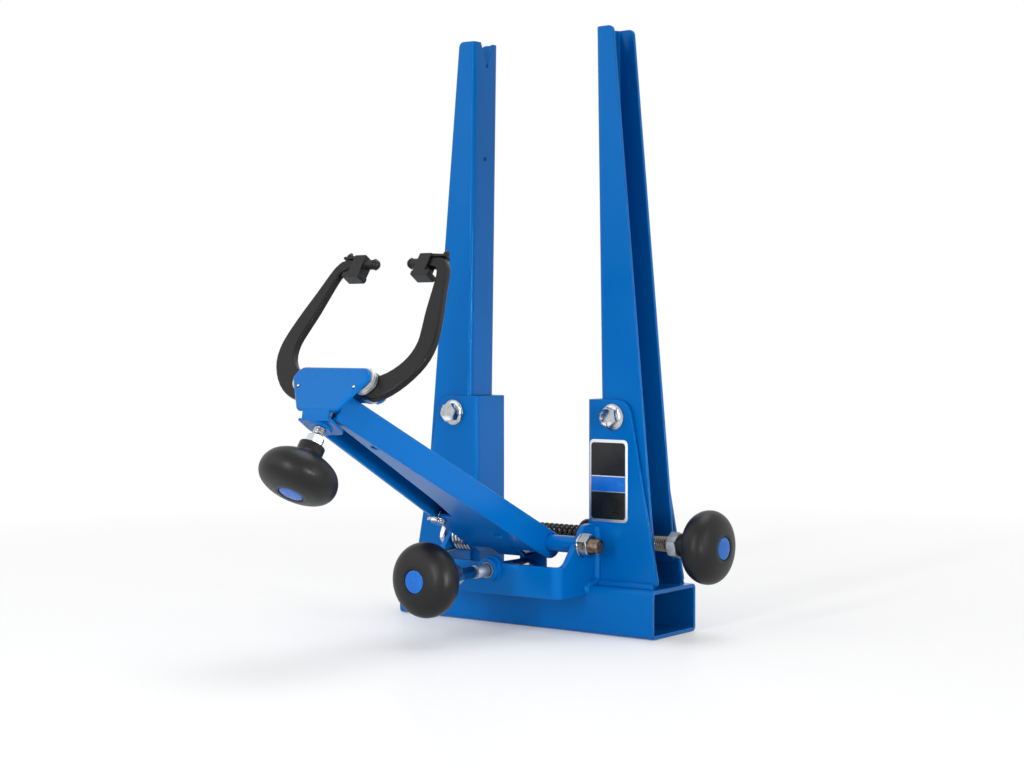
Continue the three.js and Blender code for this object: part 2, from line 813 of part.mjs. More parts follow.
// A pan that is open below: a top web and two side walls that end in round lobes at the pivot
function makeArmShell() {
	const back = -armBack - overrun;
	const end = armLength + overrun;
	const foot = -armBack - overrun;
	const side = new THREE.Shape();
	side.moveTo(-armLength, -armBack);
	side.lineTo(0, -armBack);
	side.absarc(0, 0, armBack, -Math.PI / 2, Math.asin(armTop / armBack), false);
	side.lineTo(-armLength, armTop);
	side.closePath();
	const reach = armPivotHalfWidth + 2 * overrun;
	return alongZ(armPlan(0, back, armLength), foot, armTop + overrun)
		.intersect(alongX(side, -reach, reach))
		.subtract(alongZ(armPlan(armWall, back - overrun, end), foot - overrun, armTop - armWall))
		.subtract(alongZ(armPlan(armWall, back - overrun, armWebStart), foot - overrun, armTop + 2 * overrun));
}

// A drill through the underside
function armHole(x, along) {
	return bar('z', armHoleRadius, -armBack - overrun, -armBack + armWall + overrun, x, -along);
}

// The folded underside: a lip that widens towards the pivot and closes the pan there
function makeArmFloor() {
	const inside = (along) => armHalfWidth(along) - armWall / 2;
	const floor = polygon([
		[inside(armLength), -armLength],
		[armLipInner, -armLength],
		[seatGap, -armFloorMid],
		[-armSlotStep, -armSlotEnd - armWall],
		[-inside(armSlotEnd), -armSlotEnd],
		[-inside(armFloorEnd), -armFloorEnd],
		[-tabHalfWidth, -armFloorEnd],
		[-tabHalfWidth, armWall],
		[tabHalfWidth, armWall],
		[tabHalfWidth, -armFloorEnd],
		[inside(armFloorEnd), -armFloorEnd],
	]);
	return alongZ(floor, -armBack, -armBack + armWall)
		.subtract(armHole((armHalfWidth(armHoleAlong) + armLipInner) / 2, armHoleAlong))
		.subtract(armHole(pivotHoleX, pivotHoleAlong));
}

// The push tab, drawn in the stand's frame, where its face is upright, and turned back to the arm's
function makeTab() {
	const face = liftTipY + seatGap - pivotY;
	const bottom = tabBottomZ - pivotZ;
	const tab = rounded([
		[face, bottom],
		[face + tabPlate, bottom],
		[face + tabPlate, -armTop / 2],
		[face - tabPlate, -armTop / 2],
		[0, -armBack + armWall],
		[-armWall, -armBack * Math.cos(armAngle)],
		[face, -armTop],
	]);
	const geometry = extruded(tab, 2 * tabHalfWidth);
	geometry.applyMatrix4(new THREE.Matrix4().makeBasis(axisY, axisZ, axisX));
	geometry.translate(-tabHalfWidth, 0, 0);
	geometry.rotateX(armAngle);
	return solid(geometry);
}

function makeLiftArm() {
	const reach = armPivotHalfWidth + 2 * overrun;
	return makeArmShell()
		.add(makeArmFloor())
		.add(makeTab())
		.subtract(bar('x', rodRadius + runGap, -reach, reach, 0, 0))
		.subtract(headClearance())
		.subtract(spoolHole())
		.subtract(anchorBar(anchorRadius / 2 + runGap, -armBack - overrun, -armBack + armWall + overrun));
}

// Turns a solid of the head's frame into the arm's
function fromHead(geometry) {
	geometry.rotateX(-headLean);
	geometry.translate(0, -headAlong, headAbove);
	return solid(geometry);
}

// The opening in the arm's top web that the jaw screw's spool moves in
function spoolHole() {
	const radius = spoolRadius + spoolClearance;
	const height = 2 * armBack;
	const hole = new THREE.CylinderGeometry(radius, radius, height, sides(radius));
	hole.rotateX(Math.PI / 2);
	hole.translate(0, 0, -height / 2);
	return fromHead(hole);
}

// What the head takes from the arm's end: the space of the front plate and of its apron
function headClearance() {
	const reach = armPivotHalfWidth;
	const depth = armBack * 4;
	const box = new THREE.BoxGeometry(2 * reach, depth, 4 * reach);
	box.translate(0, -headFront + headPlate - seatGap - depth / 2, 0);
	const apron = extruded(apronProfile(0, runGap), 2 * reach);
	apron.applyMatrix4(new THREE.Matrix4().makeBasis(axisY, axisZ, axisX));
	apron.translate(-reach, 0, 0);
	return fromHead(box).add(fromHead(apron));
}

const anchorX = armHalfWidth(anchorAlong) - anchorRadius;
const anchorY = anchorRadius - anchorAlong;

// A round bar on the anchor screw's axis
function anchorBar(radius, from, to) {
	return bar('z', radius, from, to, -anchorX, anchorY);
}

// The screw that anchors the return spring under the arm's left edge
function makeAnchor() {
	const seat = -armBack - seatGap;
	const foot = seat - anchorThickness;
	const flats = anchorRadius * Math.sqrt(3);
	return alongZ(hexagon(flats, -anchorX, anchorY), foot, seat)
		.add(anchorBar(anchorRadius, seat - anchorThickness / 3, seat))
		.add(anchorBar(anchorRadius / 2, seat - anchorThickness / 2, armWall - armBack + overrun));
}

// The apron's side view, from the plate's foot down to the shelf: its front leans back, and so does its
// back, which lies a margin further back
function apronProfile(frontLean, margin) {
	const front = -headFront;
	const back = front + headPlate + margin;
	const shelfFace = headShelfTop - headShelfPlate;
	return polygon([
		[front, headApronTop],
		[front + frontLean, shelfFace],
		[back + headApronLean, shelfFace],
		[back + headApronLean, headShelfTop],
		[back, headApronTop],
	]);
}

// A plate on a convex outline whose front edge is rounded over
function pillow(outline, front) {
	const section = new wasm.CrossSection([outline.getPoints(curveSteps).map(({ x, y }) => [x, y])]);
	const slices = [alongY(outline, front + headEdgeDepth, front + headPlate)];
	for (let i = 0; i < pillowSteps; i++) {
		const angle = (Math.PI / 2) * (i / pillowSteps);
		const inset = section.offset(-headEdgeInset * (1 - Math.sin(angle)));
		const from = front + headEdgeDepth * (1 - Math.cos(angle));
		slices.push(alongY(polygon(inset.toPolygons()[0]), from, front + headEdgeDepth + headEdgeDepth / pillowSteps));
	}
	return wasm.Manifold.hull(slices);
}

// The head's front plate: a shield with a rounded edge, and below it an apron and a shelf for the jaw screw
function makeHeadFront() {
	const front = -headFront;
	const back = front + headPlate;
	const shield = rounded([
		[-headTopHalfWidth, headTop, headCornerRadius],
		[-headHalfWidth, headShoulder, headPlate],
		[-headBottomHalfWidth, headBottom, headFootRadius],
		[headBottomHalfWidth, headBottom, headFootRadius],
		[headHalfWidth, headShoulder, headPlate],
		[headTopHalfWidth, headTop, headCornerRadius],
	]);
	const shelfFace = headShelfTop - headShelfPlate;
	const bossFoot = shelfFace - screwBossHeight;
	const shelfFront = front + headApronLean;
	const shelf = rounded([
		[-headShelfHalfWidth, shelfFront],
		[headShelfHalfWidth, shelfFront],
		[headShelfHalfWidth, shelfFront + headShelfDepth, headCornerRadius],
		[-headShelfHalfWidth, shelfFront + headShelfDepth, headCornerRadius],
	]);
	return pillow(shield, front)
		.add(alongX(apronProfile(headApronLean, 0), -headApronHalfWidth, headApronHalfWidth))
		.add(alongZ(shelf, shelfFace, headShelfTop))
		.add(bar('z', screwBossRadius, bossFoot, headShelfTop))
		.subtract(bar('z', jawScrewRadius + runGap, bossFoot - overrun, headShelfTop + overrun))
		.subtract(rivetHoles(front - overrun, back + overrun));
}

function pivotHoles(from, to) {
	return bar('y', jawStudRadius + runGap, from, to, jawPivotHalf, 0)
		.add(bar('y', jawStudRadius + runGap, from, to, -jawPivotHalf, 0));
}

function rivetHoles(from, to) {
	return bar('y', rivetRadius + runGap, from, to, rivetHalf, -rivetBelow)
		.add(bar('y', rivetRadius + runGap, from, to, -rivetHalf, -rivetBelow));
}

function makeHeadRear() {
	const front = headFront - headPlate;
	const plate = rounded([
		[-rearPlateHalfWidth, headTop, rearPlateCorner],
		[-rearPlateHalfWidth, -rearPlateFoot, rearPlateCorner],
		[rearPlateHalfWidth, -rearPlateFoot, rearPlateCorner],
		[rearPlateHalfWidth, headTop, rearPlateCorner],
	]);
	return alongY(plate, front, headFront)
		.subtract(pivotHoles(front - overrun, headFront + overrun));
}

// The jaws' outline as [share of the reach from the middle, share of the height from the lowest point]
const jawOuterShares = [
	[0.402, 0.024],
	[0.504, 0.002],
	[0.644, 0.031],
	[0.781, 0.094],
	[0.899, 0.181],
	[0.973, 0.271],
	[0.997, 0.367],
	[0.977, 0.463],
	[0.922, 0.595],
	[0.849, 0.735],
	[0.785, 0.87],
	[0.744, 0.94],
	[0.689, 0.985],
	[0.62, 1],
	[0.402, 1],
];
const jawInnerShares = [
	[0.402, 0.936],
	[0.531, 0.936],
	[0.597, 0.925],
	[0.635, 0.894],
	[0.659, 0.84],
	[0.687, 0.73],
	[0.717, 0.607],
	[0.76, 0.485],
	[0.782, 0.396],
	[0.757, 0.314],
	[0.692, 0.248],
	[0.586, 0.192],
	[0.47, 0.159],
];

// One jaw, seen from the front: an eye on the pivot, a tail towards the screw, and a hooked bar upwards
function makeJaw() {
	const place = ([a, b]) => new THREE.Vector2(a * jawReach, b * jawHeight - jawBelowPivot);
	const outer = new THREE.SplineCurve(jawOuterShares.slice(0, -2).map(place)).getPoints(jawSteps);
	const inner = new THREE.SplineCurve(jawInnerShares.slice(1).map(place)).getPoints(jawSteps);
	const shape = new THREE.Shape([
		...outer,
		...jawOuterShares.slice(-2).map(place),
		place(jawInnerShares[0]),
		...inner,
	]);
	const half = jawThickness / 2;
	const ballX = tailEnd + tailHeight / 2;
	const tail = polygon([
		[ballX, -tailNeck / 2],
		[ballX + tailHeight, -tailNeck / 2],
		[jawPivotHalf, -jawEyeRadius],
		[jawPivotHalf, jawEyeRadius],
		[ballX + tailHeight, tailNeck / 2],
		[ballX, tailNeck / 2],
	]);
	return alongY(shape, -half, half)
		.add(bar('y', jawEyeRadius, -half, half, jawPivotHalf, 0))
		.add(alongY(tail, -half, half))
		.add(bar('y', tailHeight / 2, -half, half, ballX, 0))
		.subtract(bar('y', jawBoreRadius, -half - overrun, half + overrun, jawPivotHalf, 0));
}

// A tip: a block that slides over the jaw's end, a round nose, a lower lip, and a strap along the top
function makeTip() {
	const halfDepth = tipBlockDepth / 2;
	const barLow = jawInnerShares[0][1] * jawHeight - jawBelowPivot;
	const block = rounded([
		[tipBlockInner, tipLipTop - runGap],
		[tipBlockOuter, tipLipTop - runGap],
		[tipBlockOuter, tipBlockTop, runGap],
		[tipBlockInner, tipBlockTop, tipStrapHeight / 2],
	]);
	const lip = rounded([
		[tipLipInner, tipLipFoot, tipLipRound],
		[tipLipOuter, tipLipFoot, tipLipRound],
		[tipLipOuter, tipLipTop, tipLipRound],
		[tipLipInner, tipLipTop, tipLipRound],
	]);
	const strapFoot = jawTopZ + seatGap;
	const strap = rounded([
		[tipBlockInner + tipStrapHeight, strapFoot],
		[tipStrapEnd, strapFoot, tipStrapHeight / 3],
		[tipStrapEnd, strapFoot + tipStrapHeight, tipStrapHeight / 3],
		[tipBlockInner + tipStrapHeight, strapFoot + tipStrapHeight],
	]);
	const slotHalf = jawThickness / 2 + seatGap;
	const slotEnd = jawOuterShares.at(-1)[0] * jawReach - seatGap;
	const slot = rectangle(slotEnd, barLow - seatGap, tipStrapEnd + overrun, strapFoot);
	const nose = new THREE.SphereGeometry(tipNoseRadius, sides(tipNoseRadius), sides(tipNoseRadius) / 2);
	nose.rotateZ(Math.PI / 2);
	nose.translate(tipNoseReach + tipNoseRadius, 0, tipNoseAbove);
	return alongY(block, -halfDepth, halfDepth)
		.add(alongY(lip, -halfDepth, halfDepth))
		.add(alongY(strap, -tipStrapDepth / 2, tipStrapDepth / 2))
		.subtract(alongY(slot, -slotHalf, slotHalf))
		.add(solid(nose))
		.add(bar('x', tipNoseRadius, tipNoseReach + tipNoseRadius, tipBlockInner + overrun / 2, 0, tipNoseAbove));
}

// The thumb screw on the strap
function makeTipScrew() {
	const seat = jawTopZ + tipStrapHeight + 2 * seatGap;
	return turned('z', [
		[0, seat],
		[tipScrewRadius, seat],
		[tipScrewRadius, seat + tipScrewLength / 2],
		[tipScrewRadius / 2, seat + tipScrewLength],
		[0, seat + tipScrewLength],
	], tipScrewX, 0);
}

// A jaw's pivot stud, from the front plate's back to its nut behind the rear plate
function makeJawStud(x) {
	const end = headFront + jawNutThickness + headPlate;
	return bar('y', jawStudRadius, -headFront + headPlate + seatGap, end, x, 0);
}

function makeSpacer(x, from, to) {
	return bar('y', spacerRadius, from, to, x, 0)
		.subtract(bar('y', jawStudRadius + runGap, from - overrun, to + overrun, x, 0));
}

function makeJawNut(x) {
	const seat = headFront + seatGap;
	return alongY(hexagon(jawNutFlats, x, 0), seat, seat + jawNutThickness)
		.subtract(bar('y', jawStudRadius + runGap, seat - overrun, seat + jawNutThickness + overrun, x, 0));
}

// The jaw screw: a spool at its top holds the jaws' tails between two discs
function makeJawScrew() {
	const half = tailHeight / 2 + seatGap;
	return turned('z', [
		[0, -jawKnobBelow - knobBoreDepth + overrun],
		[jawScrewRadius, -jawKnobBelow - knobBoreDepth + overrun],
		[jawScrewRadius, -half - spoolDisc],
		[spoolRadius, -half - spoolDisc],
		[spoolRadius, -half],
		[jawCoreRadius, -half],
		[jawCoreRadius, half],
		[spoolRadius, half],
		[spoolRadius, half + spoolDisc],
		[0, half + spoolDisc],
	]);
}

// Everything that stays on the base
function addStand() {
	add(root, 'base_tube', makeBaseTube(), bluePaint);
	add(root, 'pivot_yoke', makeYoke(), bluePaint);
	add(root, 'pivot_rod', makePivotRod(), bluePaint);
	const bracket = makeBracket();
	const rodNuts = [makeRodNut(rodNutThickness), makeRodNut(rodLeftNutThickness)];
	sideGroups.forEach((group, i) => {
		add(group, `bracket_${sideNames[i]}`, bracket, bluePaint);
		add(group, `rod_nut_${sideNames[i]}`, rodNuts[i], zincPlate);
	});
	const labelLeft = bracketInnerX + labelInset;
	const labelFoot = baseHeight + bracketHeight - labelBelowBracketTop - labelHeight;
	const label = rounded([
		[labelLeft, labelFoot, labelCornerRadius],
		[labelLeft + labelWidth, labelFoot, labelCornerRadius],
		[labelLeft + labelWidth, labelFoot + labelHeight, labelCornerRadius],
		[labelLeft, labelFoot + labelHeight, labelCornerRadius],
	]);
	const labelBack = bracketFrontY - seatGap;
	add(root, 'label_plate', alongY(label, labelBack - labelThickness, labelBack), labelFace);
}

// Hinge bolts on the bracket, weld nuts and upright on the hinge
function addUprights() {
	const shank = (bracketDepth - uprightDepth) / 2 + uprightWall + weldNutHeight + seatGap;
	const bolt = makeFlangeBolt(shank);
	const nut = makeWeldNut();
	const upright = makeUpright();
	sideGroups.forEach((group, i) => {
		const name = sideNames[i];
		const front = new THREE.Group();
		front.position.set(hingeX, bracketFrontY - seatGap, hingeZ);
		group.add(front);
		add(front, `hinge_bolt_${name}_front`, bolt, zincPlate);
		const rear = new THREE.Group();
		rear.position.set(hingeX, bracketRearY + seatGap, hingeZ);
		rear.rotation.z = Math.PI;
		group.add(rear);
		add(rear, `hinge_bolt_${name}_rear`, bolt, zincPlate);
		const hinge = new THREE.Group();
		hinge.position.set(hingeX, bracketMiddleY, hingeZ);
		hinge.rotation.y = -uprightLean;
		group.add(hinge);
		add(hinge, `upright_${name}`, upright, bluePaint);
		const nutSeat = uprightDepth / 2 - uprightWall - seatGap;
		const frontNut = new THREE.Group();
		frontNut.position.set(0, -nutSeat, 0);
		hinge.add(frontNut);
		add(frontNut, `weld_nut_${name}_front`, nut, bluePaint);
		const rearNut = new THREE.Group();
		rearNut.position.set(0, nutSeat, 0);
		rearNut.rotation.z = Math.PI;
		hinge.add(rearNut);
		add(rearNut, `weld_nut_${name}_rear`, nut, bluePaint);
	});
}

// The spread screw with its nuts, spring and knob
function addSpread() {
	const y = bracketMiddleY;
	const z = spreadZ;
	const nut = makeSpreadNut();
	const collar = makeSpreadCollar();
	sideGroups.forEach((group, i) => {
		add(group, `spread_nut_${sideNames[i]}`, nut, blackSteel);
		add(group, `spread_collar_${sideNames[i]}`, collar, blackSteel);
	});
	const screwEnd = spreadKnobX + knobBoreDepth - seatGap;
	const screw = bar('x', spreadScrewRadius, -spreadScrewLeftEnd, screwEnd, y, z);
	add(root, 'spread_screw', screw, bareSteel);
	const jamTo = spreadKnobX - seatGap;
	const bore = spreadScrewRadius + runGap;
	const jamNut = makeNutX(spreadJamNutFlats, jamTo - spreadJamNutThickness, jamTo, bore, y, z);
	add(root, 'spread_jam_nut', jamNut, zincPlate);
	const endFrom = -spreadScrewLeftEnd + spreadJamNutThickness / 2;
	const endNut = makeNutX(spreadJamNutFlats, endFrom, endFrom + spreadEndNutThickness, bore, y, z);
	add(root, 'spread_end_nut', endNut, zincPlate);
	add(root, 'spread_knob', makeKnob('x', bore, y, z, spreadKnobX, 1), blackPlastic);
	add(root, 'spread_knob_cap', makeCap('x', y, z, spreadKnobX, 1), blueCap);
	const springEnd = spreadSeatX - seatGap - springWire / 2;
	const coil = coilPoints(springCoilRadius, -springEnd, springEnd, springTurns, y, z, 0);
	addWire(root, 'spread_spring', coil, springWire, blackSteel);
}

// The lift screw with its bush and knob
function addLiftScrew() {
	const z = liftScrewZ;
	const bushFront = yokeFrontY - liftBushProud;
	const bush = bar('y', liftBushRadius, bushFront, yokeBackY + armWall, 0, z)
		.subtract(bar('y', liftScrewRadius + runGap, bushFront - overrun, yokeBackY + armWall + overrun, 0, z));
	add(root, 'lift_bush', bush, zincPlate);
	const screw = turned('y', [
		[0, liftKnobY - knobBoreDepth + seatGap],
		[liftScrewRadius, liftKnobY - knobBoreDepth + seatGap],
		[liftScrewRadius, liftTipY - liftTipCone],
		[liftTipRadius, liftTipY],
		[0, liftTipY],
	], 0, z);
	add(root, 'lift_screw', screw, zincPlate);
	const jamFrom = liftKnobY + seatGap;
	const bore = liftScrewRadius + runGap;
	const jamNut = alongY(hexagon(liftJamNutFlats, 0, z), jamFrom, jamFrom + liftJamNutThickness)
		.subtract(bar('y', bore, jamFrom - overrun, jamFrom + liftJamNutThickness + overrun, 0, z));
	add(root, 'lift_jam_nut', jamNut, zincPlate);
	add(root, 'lift_knob', makeKnob('y', bore, 0, z, liftKnobY, -1), blackPlastic);
	add(root, 'lift_knob_cap', makeCap('y', 0, z, liftKnobY, -1), blueCap);
}

// The torsion spring on the pivot rod. One leg presses on the yoke's top edge, and the other runs down
// the arm's left wall and hooks under it.
function addReturnSpring() {
	const from = -yokeInnerX + returnWire;
	const to = from + returnTurns * returnPitch;
	const leaves = Math.PI / 2 - armAngle;
	const turns = returnTurns + (leaves + Math.PI / 2) / (2 * Math.PI);
	const coil = coilPoints(returnCoilRadius, from, to, turns, pivotY, pivotZ, -Math.PI / 2);
	const yokeTop = yokeBottomAboveFloor + yokeFrontHeight + seatGap + returnWire / 2;
	const yokeEnd = new THREE.Vector3(from, yokeFrontY, yokeTop);
	const yokeElbow = new THREE.Vector3(from, pivotY - returnCoilRadius / 2, pivotZ - returnCoilRadius);
	const onArm = (x, along, above) => new THREE.Vector3(x, -along, above)
		.applyAxisAngle(axisX, -armAngle)
		.add(new THREE.Vector3(0, pivotY, pivotZ));
	const under = -armBack - seatGap - returnWire / 2;
	const hookAlong = anchorAlong - returnWire;
	const outside = -armHalfWidth(hookAlong) - seatGap - returnWire;
	const legStart = onArm(to, returnCoilRadius / 2, returnCoilRadius);
	const legEnd = onArm(outside, hookAlong - returnWire, under);
	const hookStart = onArm(outside + returnWire, hookAlong, under);
	const hookEnd = onArm(-anchorX - anchorRadius - returnWire, hookAlong, under);
	const route = [yokeEnd, yokeElbow, ...coil, legStart, legEnd, hookStart, hookEnd];
	addWire(root, 'return_spring', route, returnWire, zincPlate);
}

// The lift arm and the head on its end
function addArm() {
	const arm = new THREE.Group();
	arm.position.set(0, pivotY, pivotZ);
	arm.rotation.x = -armAngle;
	root.add(arm);
	add(arm, 'lift_arm', makeLiftArm(), bluePaint);
	add(arm, 'spring_anchor', makeAnchor(), zincPlate);
	const head = new THREE.Group();
	head.position.set(0, -headAlong, headAbove);
	head.rotation.x = -headLean;
	arm.add(head);
	add(head, 'head_front_plate', makeHeadFront(), bluePaint);
	add(head, 'head_rear_plate', makeHeadRear(), bluePaint);
	const jaw = makeJaw();
	const tip = makeTip();
	const tipScrew = makeTipScrew();
	const stud = makeJawStud(jawPivotHalf);
	const nut = makeJawNut(jawPivotHalf);
	const half = jawThickness / 2 + seatGap;
	const plateFace = headFront - headPlate - seatGap;
	const frontSpacer = makeSpacer(jawPivotHalf, -plateFace, -half);
	const rearSpacer = makeSpacer(jawPivotHalf, half, plateFace);
	const rivetEnd = -headFront + headPlate;
	const rivet = bar('y', rivetRadius, -headFront - rivetProud, rivetEnd, rivetHalf, -rivetBelow);
	sideNames.forEach((name) => {
		const group = new THREE.Group();
		group.scale.set(name === 'right' ? 1 : -1, 1, 1);
		head.add(group);
		add(group, `jaw_${name}`, jaw, blackSteel);
		add(group, `jaw_tip_${name}`, tip, blackPlastic);
		add(group, `tip_screw_${name}`, tipScrew, blackPlastic);
		add(group, `jaw_stud_${name}`, stud, zincPlate);
		add(group, `jaw_nut_${name}`, nut, zincPlate);
		add(group, `jaw_spacer_${name}_front`, frontSpacer, zincPlate);
		add(group, `jaw_spacer_${name}_rear`, rearSpacer, zincPlate);
		add(group, `head_rivet_${name}`, rivet, zincPlate);
	});
	add(head, 'jaw_screw', makeJawScrew(), zincPlate);
	const bore = jawScrewRadius + runGap;
	const jamFoot = -jawKnobBelow + seatGap;
	const jam = alongZ(hexagon(jawJamNutFlats), jamFoot, jamFoot + jawJamNutThickness)
		.subtract(bar('z', bore, jamFoot - overrun, jamFoot + jawJamNutThickness + overrun));
	add(head, 'jaw_jam_nut', jam, zincPlate);
	add(head, 'jaw_knob', makeKnob('z', bore, 0, 0, -jawKnobBelow, -1), blackPlastic);
	add(head, 'jaw_knob_cap', makeCap('z', 0, 0, -jawKnobBelow, -1), blueCap);
}

addStand();
addUprights();
addSpread();
addLiftScrew();
addReturnSpring();
addArm();

export default root;
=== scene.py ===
# %% [markdown]
# # A bicycle wheel truing stand
# The stand holds a wheel between two tall blue arms while its spokes are trued. Its pieces were cut to size
# outside Blender and packed as a fixed frame. This lesson dresses that frame: it softens cut edges, winds threads
# and springs, turns the knobs, and gives every surface its finish.

# %% Load the frame
from math import cos, pi, radians, sin
import bpy
import bmesh
from mathutils import Matrix, Vector


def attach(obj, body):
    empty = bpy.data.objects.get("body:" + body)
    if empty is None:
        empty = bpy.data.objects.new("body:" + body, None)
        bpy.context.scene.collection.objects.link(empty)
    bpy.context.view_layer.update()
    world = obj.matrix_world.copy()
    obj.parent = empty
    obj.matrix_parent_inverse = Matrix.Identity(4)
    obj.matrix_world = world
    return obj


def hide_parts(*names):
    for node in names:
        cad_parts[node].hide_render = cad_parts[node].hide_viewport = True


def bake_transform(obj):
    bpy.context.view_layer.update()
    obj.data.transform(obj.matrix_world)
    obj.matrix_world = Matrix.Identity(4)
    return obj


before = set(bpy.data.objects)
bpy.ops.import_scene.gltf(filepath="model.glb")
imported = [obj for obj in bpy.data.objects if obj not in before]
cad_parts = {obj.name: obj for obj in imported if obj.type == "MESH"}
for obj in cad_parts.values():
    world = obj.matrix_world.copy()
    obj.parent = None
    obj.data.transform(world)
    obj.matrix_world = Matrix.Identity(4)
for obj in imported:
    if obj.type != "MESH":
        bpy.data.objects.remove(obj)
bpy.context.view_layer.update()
mm = 0.001

# %% [markdown]
# ## Camera
# A product picture is taken with a long lens from far away, so that upright edges stay upright. The camera looks
# from the stand's right front, almost level, and a small sideways shift frames it without turning the view.

# %% Camera
camera = bpy.data.objects.new("camera", bpy.data.cameras.new("camera"))
bpy.context.collection.objects.link(camera)
bpy.context.scene.camera = camera
camera.data.sensor_width = 36
camera.data.lens = 66.43
camera.data.shift_x = -0.0302
camera.location = (0.91656, -1.25087, 0.23707)
camera.rotation_euler = (radians(90 - 1.54), 0, radians(36.232))
camera.data.clip_end = 30
print("camera:", round(camera.data.lens, 1), "mm lens")

# %% [markdown]
# ## Colours
# A colour picked from a picture is an sRGB value from 0 to 255, and shaders work with linear light. So every
# material names its colours in sRGB and one helper converts them.

# %% Colour helper
def paint_value(red, green, blue):
    """An sRGB colour of 0 to 255 as the linear colour that a shader takes."""
    def linear(value):
        share = value / 255
        return share / 12.92 if share <= 0.04045 else ((share + 0.055) / 1.055) ** 2.4
    return (linear(red), linear(green), linear(blue), 1)


print("mid grey in linear light:", [round(v, 3) for v in paint_value(128, 128, 128)[:3]])

# %% [markdown]
# ## Node helpers
# Shaders and Geometry Nodes are both trees of nodes. A few helpers keep the trees below short: one adds a node
# with its values and links, and a term lets sums be written with the usual signs.

# %% Node helpers
def find(sockets, label=""):
    """The socket in use with a name or identifier, or else the first. An underscore stands for a space."""
    label = label.replace("_", " ")
    return next(s for s in sockets if s.enabled and label in ("", s.name, s.identifier.replace("_", " ")))


class Term:
    """A socket that the usual signs calculate with. Each sign adds one Math node."""
    def __init__(self, socket):
        self.socket = socket

    def __add__(self, other):
        return calc("ADD", self, other)

    def __sub__(self, other):
        return calc("SUBTRACT", self, other)

    def __rsub__(self, other):
        return calc("SUBTRACT", other, self)

    def __mul__(self, other):
        return calc("MULTIPLY", self, other)

    def __truediv__(self, other):
        return calc("DIVIDE", self, other)

    def clamped(self):
        self.socket.node.use_clamp = True
        return self


def pick(node, label=""):
    """A node's output as a term, its first one unless named."""
    return Term(find(node.outputs, label))


def give(socket, value):
    """Links a socket to a term or to a node's first output, or else sets its value."""
    if isinstance(value, bpy.types.Node):
        value = pick(value)
    if isinstance(value, Term):
        socket.id_data.links.new(value.socket, socket)
    else:
        socket.default_value = value


def calc(operation, *terms):
    """A Math node's result. At least one of its terms is a Term, the others may be numbers."""
    tree = next(term.socket.id_data for term in terms if isinstance(term, Term))
    node = add(tree, "ShaderNodeMath", operation=operation)
    for socket, term in zip(node.inputs, terms):
        give(socket, term)
    return pick(node)


def feed(node, **values):
    """Sets properties, which have small first letters, and gives a node's inputs their values."""
    for label, value in values.items():
        if label[0].islower():
            setattr(node, label, value)
        else:
            give(find(node.inputs, label), value)
    return node


def add(tree, kind, **values):
    return feed(tree.nodes.new(kind), **values)


def noise(tree, place, scale, **values):
    return pick(add(tree, "ShaderNodeTexNoise", Vector=place, Scale=scale, **values))


print("node helpers ready")

# %% [markdown]
# ## Shader groups
# Several finishes share the same small effects: a fine skin, a slow change of gloss from handling, and the
# streaks of metal. Each is a node group with named sockets, built once and placed in each material with its own
# numbers. A group only gives out values that change over the surface. The shader stays outside it.

# %% Group helpers
def metres(tree):
    """The Object coordinates."""
    return pick(add(tree, "ShaderNodeTexCoord"), "Object")


def gloss_range(pattern, least, gain, smooth, dull):
    """A mask from a noise, and the roughness between smooth and dull that it picks."""
    mask = ((pattern - least) * gain).clamped()
    return {"Roughness": mask * (dull - smooth) + smooth, "Mask": mask}


def shader_group(name, build, **inputs):
    """A group with float inputs. build works out its outputs, by name."""
    group = bpy.data.node_groups.new(name, "ShaderNodeTree")
    for label, value in inputs.items():
        group.interface.new_socket(label, in_out="INPUT", socket_type="NodeSocketFloat").default_value = value
    given = add(group, "NodeGroupInput")
    results = build(group, metres(group), *(pick(given, label) for label in inputs))
    for label in results:
        group.interface.new_socket(label, in_out="OUTPUT", socket_type="NodeSocketFloat")
    add(group, "NodeGroupOutput", **results)
    print("group:", name, list(inputs), "to", list(results))
    return group

# %% [markdown]
# ### Cured skin
# Powder paint melts and flows before it sets, which leaves a faint orange-peel relief about a millimetre across.
# Moulded plastic has a finer grain. Both are noise at two sizes, mixed by one socket.

# %% Cured skin group
def skin_height(tree, place, scale, grain):
    return {"Height": noise(tree, place, scale, Detail=1.0) + noise(tree, place, scale * 4.3) * grain}


cured_skin = shader_group("cured_skin", skin_height, Scale=900.0, Grain=0.2)

# %% [markdown]
# ### Handling
# Hands and cloths polish some places and dull others. A slow noise moves the roughness between two values, and
# gives a mask that tints the colour a little.

# %% Handling group
def touched(tree, place, scale, smooth, dull):
    slow = noise(tree, place, scale, Detail=4.0, Roughness=0.6, Distortion=0.4)
    return gloss_range(slow, least=0.28, gain=2.2, smooth=smooth, dull=dull)


handling = shader_group("handling", touched, Scale=30.0, Smooth=0.3, Dull=0.45)

# %% [markdown]
# ### Drawn metal
# Drawn bar shows faint streaks from tooling: noise that a Mapping node squeezes along one direction. A second
# noise gives soft blooms of gloss and colour.

# %% Drawn metal group
def streaked(tree, place, scale, smooth, dull):
    squeezed = add(tree, "ShaderNodeMapping", Vector=place, Scale=(1.0, 1.0, 0.12))
    bloom = noise(tree, place, 160.0, Detail=3.0, Distortion=1.0)
    return {"Height": noise(tree, squeezed, scale, Detail=3.0),
            **gloss_range(bloom, least=0.38, gain=4.0, smooth=smooth, dull=dull)}


drawn_metal = shader_group("drawn_metal", streaked, Scale=500.0, Smooth=0.18, Dull=0.36)

